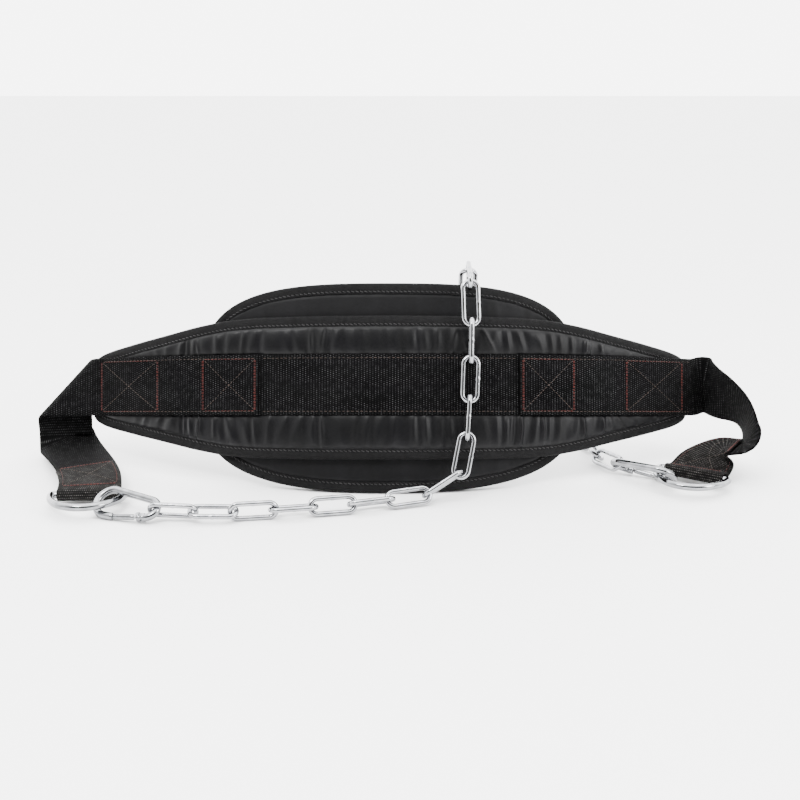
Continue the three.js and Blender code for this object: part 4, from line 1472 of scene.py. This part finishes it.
class Strip:
    """A webbing strip, as rows of its two edges, the way its face looks and the way run along it."""

    def __init__(self) -> None:
        """Starts with no rows."""
        self.low: list[np.ndarray] = []
        self.high: list[np.ndarray] = []
        self.face: list[np.ndarray] = []
        self.run_low: list[float] = []
        self.run_high: list[float] = []

    def add(self, low: np.ndarray, high: np.ndarray, face: np.ndarray, run_low: float | None = None,
            run_high: float | None = None) -> None:
        """Adds a row.

        Args:
            low: Its lower edge.
            high: Its upper edge.
            face: Unit vector out of its face.
            run_low: Way run at the lower edge; by default it follows the middle line.
            run_high: Way run at the upper edge.
        """
        if run_low is None:
            step = 0.0
            if self.low:
                step = float(np.linalg.norm((low + high - self.low[-1] - self.high[-1]) / 2.0))
                step += (self.run_low[-1] + self.run_high[-1]) / 2.0
            run_low = run_high = step
        self.low.append(low)
        self.high.append(high)
        self.face.append(unit(face))
        self.run_low.append(run_low)
        self.run_high.append(run_high)

    def middle(self, index: int) -> np.ndarray:
        """Middle of a row."""
        return (self.low[index] + self.high[index]) / 2.0

    def add_turned(self, middle: np.ndarray, along: np.ndarray, across: np.ndarray, side: Side) -> None:
        """Adds a row by its middle and its ways.

        Args:
            middle: Its middle.
            along: Way along the strip.
            across: Rough way across it.
            side: Which side of the belt it is on.
        """
        across = unit(across - along * float(across @ along))
        half = across * SIZES.band_half
        self.add(middle - half, middle + half, -side.value * np.cross(across, along))

    def mesh(self) -> Draft:
        """Makes the strip's cloth, with its long edges slightly rounded.

        Returns:
            Its closed mesh.
        """
        low, high, face = (np.array(rows) for rows in (self.low, self.high, self.face))
        run_low, run_high = np.array(self.run_low), np.array(self.run_high)
        half, width = SIZES.web_thickness / 2.0, SIZES.web_width
        columns, margin, lip, thin = 13, 1.0, 0.3, 0.66 * half
        inner = np.linspace(margin, width - margin, columns)
        across = np.concatenate([[0.0, lip], inner, [width - lip, width, width - lip], inner[::-1], [lip]])
        height = np.concatenate([[0.0, thin], np.full(columns, half), [thin, 0.0, -thin],
                                 np.full(columns, -half), [-thin]])
        share = across / width
        points = (low[:, None, :] + (high - low)[:, None, :] * share[None, :, None]
                  + face[:, None, :] * height[None, :, None])
        share = np.append(share, share[0])
        run = run_low[:, None] + (run_high - run_low)[:, None] * share[None, :]
        uv = np.stack([run, np.broadcast_to(share * width, run.shape)], axis=2)
        draft = Draft()
        draft.grid(points, uv, closed_columns=True, capped=True)
        return draft

    def line(self, ends: tuple[Spot, Spot], lift: float) -> tuple[np.ndarray, np.ndarray]:
        """A straight line drawn on the strip.

        Args:
            ends: Way run and way across at its two ends.
            lift: Height over the strip's middle layer, negative on its other face.

        Returns:
            Points and unit normals along the line.
        """
        run = (np.array(self.run_low) + np.array(self.run_high)) / 2.0
        places = np.linspace(ends[0], ends[1], 40)

        def at(rows: list[np.ndarray]) -> np.ndarray:
            """Reads rows at the line's places."""
            table = np.array(rows)
            return np.stack([np.interp(places[:, 0], run, table[:, k]) for k in range(3)], axis=1)

        low, high, face = at(self.low), at(self.high), unit(at(self.face))
        share = (places[:, 1] / SIZES.web_width)[:, None]
        return low + (high - low) * share + face * lift, face * math.copysign(1.0, lift)


@dataclass(frozen=True)
class TurnRow:
    """A row of the right strap's turn: its middle, from the belt's middle, and the way across the strap."""

    middle: tuple[float, float, float]
    across: tuple[float, float, float]


RIGHT_TURN = (
    TurnRow((278, 79, 63), (0, 0.2, 0.97)), TurnRow((285, 64, 61), (-0.05, -0.2, 0.98)),
    TurnRow((294, 50, 58.5), (-0.08, -0.5, 0.86)), TurnRow((302, 39, 53), (-0.07, -0.7, 0.71)),
    TurnRow((306, 30, 45), (-0.05, -0.81, 0.59)), TurnRow((306.5, 23, 36), (0, -0.89, 0.46)),
    TurnRow((302, 17.5, 28), (0.1, -0.94, 0.33)), TurnRow((284, 24, 20), (0.5, -0.84, 0.2)),
)


@dataclass(frozen=True)
class BoxPlace:
    """Where a box seam on the panel starts and ends along the belt."""

    side: Side
    start: float
    end: float


ROOT_BOXES = (
    BoxPlace(Side.LEFT, 198.0, 259.0), BoxPlace(Side.LEFT, 108.6, 154.4),
    BoxPlace(Side.RIGHT, 203.4, 264.1), BoxPlace(Side.RIGHT, 108.6, 152.9),
)


@dataclass
class Webbing:
    """The band along the panel and the two straps."""

    curve: BeltCurve
    wardrobe: Wardrobe
    left_ring: RingPlace
    right_ring: RingPlace
    fold_radius: float = 7.5
    fold_reach: float = 25.0
    fold_angle: float = math.radians(46.0)
    fold_facing: float = 70.0
    leaving_handle: float = 14.0
    arriving_handle: float = 45.0
    before_ring: float = 18.0
    above_ring: float = 3.5
    loop_closing: float = 16.0
    ply_gap: float = 0.1
    tail_margin: float = 2.5
    ring_margin: float = 8.0
    box_margin: float = 3.6
    double_row: float = 0.9
    row_margin: float = 3.2
    left_row_end: float = 258.0
    right_row_end: float = 274.0

    @property
    def loop_radius(self) -> float:
        """Radius of a strap's loop round a ring's bar."""
        return 3.0 + SIZES.clearance + SIZES.web_thickness / 2.0

    def on_belt(self, strip: Strip, places: np.ndarray, height: float) -> None:
        """Adds rows that lie on the belt.

        Args:
            strip: The strip that is made.
            places: Places along the belt.
            height: Height over the panel's back.
        """
        for u in places:
            low = self.curve.point(u, SIZES.band_rise - SIZES.band_half, height)
            high = self.curve.point(u, SIZES.band_rise + SIZES.band_half, height)
            strip.add(low, high, self.curve.outward(u))

    def root(self, side: Side) -> Strip:
        """The stretch of a strap that lies on the band."""
        strip = Strip()
        reach = SIZES.left_reach if side is Side.LEFT else SIZES.right_reach
        places = np.linspace(SIZES.strap_inboard, reach, 60)
        self.on_belt(strip, side.value * places, SIZES.strap_w)
        return strip

    def loop_and_tail(self, strip: Strip) -> tuple[float, float]:
        """Adds the loop round the ring's bar and the tail that is sewn back.

        Args:
            strip: The strap, up to the ring.

        Returns:
            Way run where the loop starts, and where it ends.
        """
        before = len(strip.low)
        last_low, last_high, last_face = strip.low[-1], strip.high[-1], strip.face[-1]
        along = unit(strip.middle(-1) - strip.middle(-2))
        radius = self.loop_radius
        loop_start = (strip.run_low[-1] + strip.run_high[-1]) / 2.0
        for angle in np.linspace(0.0, math.pi, 25)[1:]:
            shift = along * radius * math.sin(angle) + last_face * radius * (1.0 - math.cos(angle))
            facing = last_face * math.cos(angle) - along * math.sin(angle)
            strip.add(last_low + shift, last_high + shift, facing)
        loop_end = (strip.run_low[-1] + strip.run_high[-1]) / 2.0
        gone = 0.0
        for k in range(before - 2, 0, -1):
            gone += float(np.linalg.norm(strip.middle(k) - strip.middle(k + 1)))
            if gone > SIZES.strap_tail:
                break
            closed = float(smoothstep(gone, 0.0, self.loop_closing))
            offset = 2.0 * radius + (SIZES.web_thickness + self.ply_gap - 2.0 * radius) * closed
            lift = strip.face[k] * offset
            strip.add(strip.low[k] + lift, strip.high[k] + lift, -strip.face[k])
        return loop_start, loop_end

    def left(self) -> tuple[Strip, float, float]:
        """Left strap: folded back along a slanting line, then down to its ring."""
        strip = self.root(Side.LEFT)
        along = -self.curve.tangent(-self.fold_facing)
        outward = self.curve.outward(-self.fold_facing)
        up = self.curve.up
        cos, sin = math.cos(self.fold_angle), math.sin(self.fold_angle)
        fold_line = along * cos - up * sin
        past_fold = along * sin + up * cos
        middle = strip.middle(-1) + along * self.fold_reach
        start = strip.run_low[-1] + self.fold_reach

        def on_strap(a: float, b: float) -> np.ndarray:
            """Place of a point of the flat strap after the fold."""
            run, past = cos * a - sin * b, sin * a + cos * b
            turn = min(max(past / self.fold_radius, 0.0), math.pi)
            beyond = max(0.0, past - math.pi * self.fold_radius)
            return (middle + fold_line * run
                    + past_fold * (min(0.0, past) + self.fold_radius * math.sin(turn) - beyond)
                    - outward * self.fold_radius * (1.0 - math.cos(turn)))

        half = SIZES.band_half
        slant = half / math.tan(self.fold_angle)
        fold_length = math.pi * self.fold_radius / sin
        tip = self.fold_reach
        for share in np.linspace(0.0, 1.0, 16)[1:-1]:
            low_a, high_a = (tip + slant) * share - tip, (tip - slant) * share - tip
            strip.add(on_strap(low_a, -half), on_strap(high_a, half), outward, start + low_a, start + high_a)
        steps = 30
        for k in range(steps + 1):
            place, turn = fold_length * k / steps, math.pi * k / steps
            strip.add(on_strap(place + slant, -half), on_strap(place - slant, half),
                      outward * math.cos(turn) + past_fold * math.sin(turn),
                      start + place + slant, start + place - slant)
        clear = fold_length + slant + 2.0
        for share in np.linspace(0.0, 1.0, 16)[1:-1]:
            low_a = fold_length + slant + 2.0 * share
            high_a = fold_length - slant + (2.0 * slant + 2.0) * share
            strip.add(on_strap(low_a, -half), on_strap(high_a, half), -outward, start + low_a, start + high_a)
        leave_low, leave_high = on_strap(clear, -half), on_strap(clear, half)
        strip.add(leave_low, leave_high, -outward, start + clear, start + clear)
        down = unit(on_strap(clear + 1.0, 0.0) - on_strap(clear, 0.0))
        arrive = self.left_ring.forward.copy()
        arrive[2] = -0.1
        arrive = unit(arrive)
        begin = (leave_low + leave_high) / 2.0
        end = self.left_ring.bar - np.cross(self.left_ring.across, arrive) * self.loop_radius
        handles = [begin, begin + down * self.leaving_handle, end - arrive * self.arriving_handle, end]
        first_across = unit(leave_high - leave_low)
        for share in np.linspace(0.0, 1.0, 61)[1:]:
            rest = 1.0 - share
            place = (handles[0] * rest**3 + handles[1] * 3 * rest**2 * share
                     + handles[2] * 3 * rest * share**2 + handles[3] * share**3)
            way = unit((handles[1] - handles[0]) * rest**2 + (handles[2] - handles[1]) * 2 * rest * share
                       + (handles[3] - handles[2]) * share**2)
            ease = float(smoothstep(share, 0.0, 1.0))
            across = unit(first_across + (self.left_ring.across - first_across) * ease)
            strip.add_turned(place, way, across, Side.LEFT)
        return strip, *self.loop_and_tail(strip)

    def right(self) -> tuple[Strip, float, float]:
        """Right strap: twists outwards past the panel's tip and comes back to its ring."""
        strip = self.root(Side.RIGHT)
        end = self.right_ring.bar - Z_AXIS * self.loop_radius
        level = self.right_ring.forward.copy()
        level[2] = 0.0
        level = unit(level)
        middles = [strip.middle(-5), strip.middle(-1)]
        middles += [np.array(row.middle, float) + TABLE_SHIFT for row in RIGHT_TURN]
        middles += [end - level * self.before_ring + Z_AXIS * self.above_ring, end]
        across = [self.curve.up] * 2 + [np.array(row.across, float) for row in RIGHT_TURN]
        across += [self.right_ring.across] * 2
        path, ways = CatmullRom(np.array(middles)), CatmullRom(np.array(across))
        first = 1.0 / (len(middles) - 1)
        for share in np.linspace(first, 1.0, 121)[1:]:
            strip.add_turned(path.point(share), path.tangent(share), ways.point(share), Side.RIGHT)
        return strip, *self.loop_and_tail(strip)

    def build(self) -> None:
        """Makes the band, the straps and all their seams."""
        band = Strip()
        self.on_belt(band, np.linspace(-0.5, 0.5, 150) * SIZES.band_length, SIZES.band_w)
        band.mesh().to_object("band_webbing", self.wardrobe.webbing, Slot.WEBBING, replaced=("waist_band",))
        red = Seam("red_seams", self.wardrobe.red_thread)
        tan = Seam("tan_seams", self.wardrobe.tan_thread)
        for side, (strip, loop_start, loop_end) in ((Side.LEFT, self.left()), (Side.RIGHT, self.right())):
            name = side.name.lower()
            strap = strip.mesh().to_object(f"{name}_strap_webbing", self.wardrobe.webbing, Slot.WEBBING,
                                           replaced=(f"{name}_strap",))
            doubled = loop_start - SIZES.strap_tail
            # Painted light: the doubled end, its loop and its tail get the lighter copy of the webbing.
            self.dress_end(strap, doubled)
            near, far = doubled + self.tail_margin, loop_start - self.ring_margin
            outer_ply = (loop_end + (loop_start - near), loop_end + (loop_start - far))
            lift = SIZES.web_thickness / 2.0
            for start, end in ((near, far), outer_ply):
                self.box_seam(red, tan, strip, start, end, -lift)
            for box in (box for box in ROOT_BOXES if box.side is side):
                self.box_seam(red, tan, strip, self.root_run(box.start), self.root_run(box.end), lift)
        self.edge_rows(tan)
        red.finish()
        tan.finish()

    def dress_end(self, strap: bpy.types.Object, start: float) -> None:
        """Gives a strap's doubled end a lighter copy of the webbing, the same cloth painted lighter as
        painted light, with a finer weave.

        Args:
            strap: The strap.
            start: Way run where the doubled end starts.
        """
        mesh = strap.data
        mesh.materials.append(self.wardrobe.sewn_webbing_painted_light)
        cloth = mesh.uv_layers[0].data
        for face in mesh.polygons:
            if cloth[face.loop_start].uv[0] > start:
                face.material_index = 1

    def root_run(self, place: float) -> float:
        """Way run along a strap's root at a place along the belt."""
        return (place - SIZES.strap_inboard) * (1.0 + SIZES.strap_w / self.curve.radius)

    def box_seam(self, red: Seam, tan: Seam, strip: Strip, start: float, end: float, lift: float) -> None:
        """Sews a box with a cross in it.

        Args:
            red: Seam of the box.
            tan: Seam of the cross.
            strip: The strap.
            start: Way run at the box's first end.
            end: Way run at its other end.
            lift: Height over the strip's middle layer.
        """
        low, high = self.box_margin, SIZES.web_width - self.box_margin
        corners = [(start, low), (end, low), (end, high), (start, high)]
        for k in range(4):
            ends = (corners[k], corners[(k + 1) % 4])
            if k % 2 == 0:
                points, normals = strip.line(ends, lift)
                red.run(points, normals, BOX_SIDE_STITCH)
                continue
            for shift in (0.0, self.double_row):
                (run_a, side_a), (run_b, side_b) = ends
                points, normals = strip.line(((run_a + shift, side_a), (run_b + shift, side_b)), lift)
                red.run(points, normals, BOX_END_STITCH)
        for a, b in ((0, 2), (1, 3)):
            points, normals = strip.line((corners[a], corners[b]), lift)
            tan.run(points, normals, CROSS_STITCH)

    def edge_rows(self, tan: Seam) -> None:
        """Sews the rows along both edges of the band and of the straps' roots.

        Args:
            tan: Seam of the rows.
        """
        half = SIZES.web_thickness / 2.0
        inboard = SIZES.strap_inboard
        stretches = ((-inboard + 1.0, inboard - 1.0, SIZES.band_w),
                     (-self.left_row_end, -inboard - 1.5, SIZES.strap_w),
                     (inboard + 1.5, self.right_row_end, SIZES.strap_w))
        off_middle = SIZES.band_half - self.row_margin
        for start, end, height in stretches:
            u = np.linspace(start, end, 160)
            for v, stitch in ((-off_middle, LOWER_ROW_STITCH), (off_middle, UPPER_ROW_STITCH)):
                points = self.curve.point(u, SIZES.band_rise + v, height + half)
                tan.run(points, self.curve.outward(u), stitch)


class CatmullRom:
    """Centripetal Catmull-Rom curve through points, read by share of its spans."""

    def __init__(self, points: np.ndarray) -> None:
        """Keeps the points."""
        self.points = points

    def point(self, share: float) -> np.ndarray:
        """Point of the curve at a share from 0 to 1."""
        points = self.points
        place = min(max(share, 0.0), 1.0) * (len(points) - 1)
        k = min(int(place), len(points) - 2)
        t = place - k
        p1, p2 = points[k], points[k + 1]
        p0 = points[k - 1] if k > 0 else 2.0 * p1 - p2
        p3 = points[k + 2] if k + 2 < len(points) else 2.0 * p2 - p1
        spans = ((p0, p1), (p1, p2), (p2, p3))
        d0, d1, d2 = (max(float(np.sum((b - a) ** 2)) ** 0.25, 1e-4) for a, b in spans)
        m1 = ((p1 - p0) / d0 - (p2 - p0) / (d0 + d1) + (p2 - p1) / d1) * d1
        m2 = ((p2 - p1) / d1 - (p3 - p1) / (d1 + d2) + (p3 - p2) / d2) * d1
        return (p1 * (2 * t**3 - 3 * t**2 + 1) + m1 * (t**3 - 2 * t**2 + t)
                + p2 * (-2 * t**3 + 3 * t**2) + m2 * (t**3 - t**2))

    def tangent(self, share: float) -> np.ndarray:
        """Unit vector along the curve at a share from 0 to 1."""
        step = 1e-4
        return unit(self.point(min(share + step, 1.0)) - self.point(max(share - step, 0.0)))


# Studio


@dataclass(frozen=True)
class Lamp:
    """A soft area light: its place, its width and height, all in metres, and its power in watts."""

    name: str
    place: tuple[float, float, float]
    size: tuple[float, float]
    power: float


LAMPS = (Lamp("key", (-0.7, -0.9, 1.5), (0.7, 0.4), 26.0), Lamp("fill", (1.3, -0.7, 0.8), (0.5, 0.7), 20.0))


@dataclass
class Studio:
    """Floor, light and camera."""

    eye: tuple[float, float, float] = (9.0, -960.0, 366.7)
    sensor: float = 36.0
    floor_half: float = 6.0
    floor_shade: float = 0.93
    aim: tuple[float, float, float] = (0.0, 0.0, 0.06)
    focal_pixels: float = 1220.0
    image_pixels: float = 800.0
    pitch: float = math.radians(17.0)
    bright: float = 7.8
    dim: float = 0.2
    side: float = 0.3
    backdrop: float = 0.85
    front_edge: float = -0.5

    def build(self) -> None:
        """Sets up the studio."""
        self.camera()
        self.floor()
        self.world()
        for lamp in LAMPS:
            self.hang(lamp)

    def camera(self) -> None:
        """Places the camera where the photograph was taken from."""
        data = bpy.data.cameras.new("photo_camera")
        data.sensor_width = self.sensor
        data.lens = self.focal_pixels / self.image_pixels * data.sensor_width
        data.clip_start = 0.01
        camera = bpy.data.objects.new("photo_camera", data)
        bpy.context.scene.collection.objects.link(camera)
        place = (np.array(self.eye) + TABLE_SHIFT) * METRES
        camera.location = place.tolist()
        camera.rotation_euler = (math.pi / 2.0 - self.pitch, 0.0, 0.0)
        bpy.context.scene.camera = camera

    def floor(self) -> None:
        """Lays a plain pale floor."""
        mesh = bpy.data.meshes.new("floor")
        half = self.floor_half
        corners = [(-half, -half, 0), (half, -half, 0), (half, half, 0), (-half, half, 0)]
        mesh.from_pydata(corners, [], [(0, 1, 2, 3)])
        floor = bpy.data.objects.new("floor", mesh)
        bpy.context.scene.collection.objects.link(floor)
        material = bpy.data.materials.new("pale_floor")
        material.use_nodes = True
        shader = material.node_tree.nodes["Principled BSDF"]
        shader.inputs["Base Color"].default_value = (*[self.floor_shade] * 3, 1.0)
        shader.inputs["Roughness"].default_value = 0.9
        shader.inputs["Specular IOR Level"].default_value = 0.1
        mesh.materials.append(material)

    def world(self) -> None:
        """Surrounds the scene with soft light, bright behind and overhead and dim in front of the belt."""
        world = bpy.data.worlds.new("studio_light")
        bpy.context.scene.world = world
        world.use_nodes = True
        board = Board(world.node_tree)
        way = board.node("ShaderNodeSeparateXYZ", {0: board.node("ShaderNodeTexCoord").outputs["Generated"]})
        behind = board.spread(way.outputs[1], self.front_edge, 0.12, 0.0, self.backdrop)
        overhead = board.spread(way.outputs[2], 0.6, 0.92)
        beside = board.spread(board.math("ABSOLUTE", way.outputs[0]), 0.5, 0.85, 0.0, self.side)
        light = board.math("MAXIMUM", board.math("MAXIMUM", behind, overhead), beside)
        background = world.node_tree.nodes["Background"]
        background.inputs["Color"].default_value = (1.0, 1.0, 1.0, 1.0)
        board.feed(background.inputs["Strength"], board.spread(light, 0.0, 1.0, self.dim, self.bright))

    def hang(self, lamp: Lamp) -> None:
        """Hangs a lamp that looks at the belt."""
        data = bpy.data.lights.new(lamp.name, "AREA")
        data.shape = "RECTANGLE"
        data.size, data.size_y = lamp.size
        data.energy = lamp.power
        light = bpy.data.objects.new(lamp.name, data)
        bpy.context.scene.collection.objects.link(light)
        light.location = lamp.place
        light.rotation_euler = (Vector(self.aim) - Vector(lamp.place)).to_track_quat("-Z", "Y").to_euler()


def main() -> None:
    """Builds the dressed belt piece by piece."""
    logging.basicConfig(level=logging.INFO, format="%(name)s %(message)s")
    Studio().build()
    wardrobe = Wardrobe.stocked()
    curve = placed_curve()
    LOG.info("belt origin %s", np.round(curve.origin, 3).tolist())
    left_ring = RingPlace(x=-241.0, y=-45.0, turn=3.0, hold=42.0, bar_rise=2.5)
    right_ring = RingPlace(x=255.0, y=-2.0, turn=-33.0, hold=153.0, bar_rise=4.2)
    front_edge, rear_edge = panel_edge(), pad_edge(curve)
    PaddedPanel(front_edge, curve, wardrobe).build()
    BackPad(rear_edge, curve, wardrobe).build()
    front, back = -SIZES.clearance, -SIZES.clearance - SIZES.pad_thickness
    EdgeTape("main_binding", front_edge, curve, SIZES.panel_thickness, 0.0, wardrobe, seed=3).build()
    EdgeTape("back_binding", rear_edge, curve, front, back, wardrobe, seed=17).build()
    Webbing(curve, wardrobe, left_ring, right_ring).build()
    for name, ring, heading, slip in (("left", left_ring, -22.0, 0.0), ("right", right_ring, 144.0, 3.0)):
        DRing(f"{name}_d_ring", ring, wardrobe).build()
        SpringHook(name, ring, heading, slip, wardrobe).build()
    Chain(wardrobe).build()


if __name__ == "__main__":
    main()
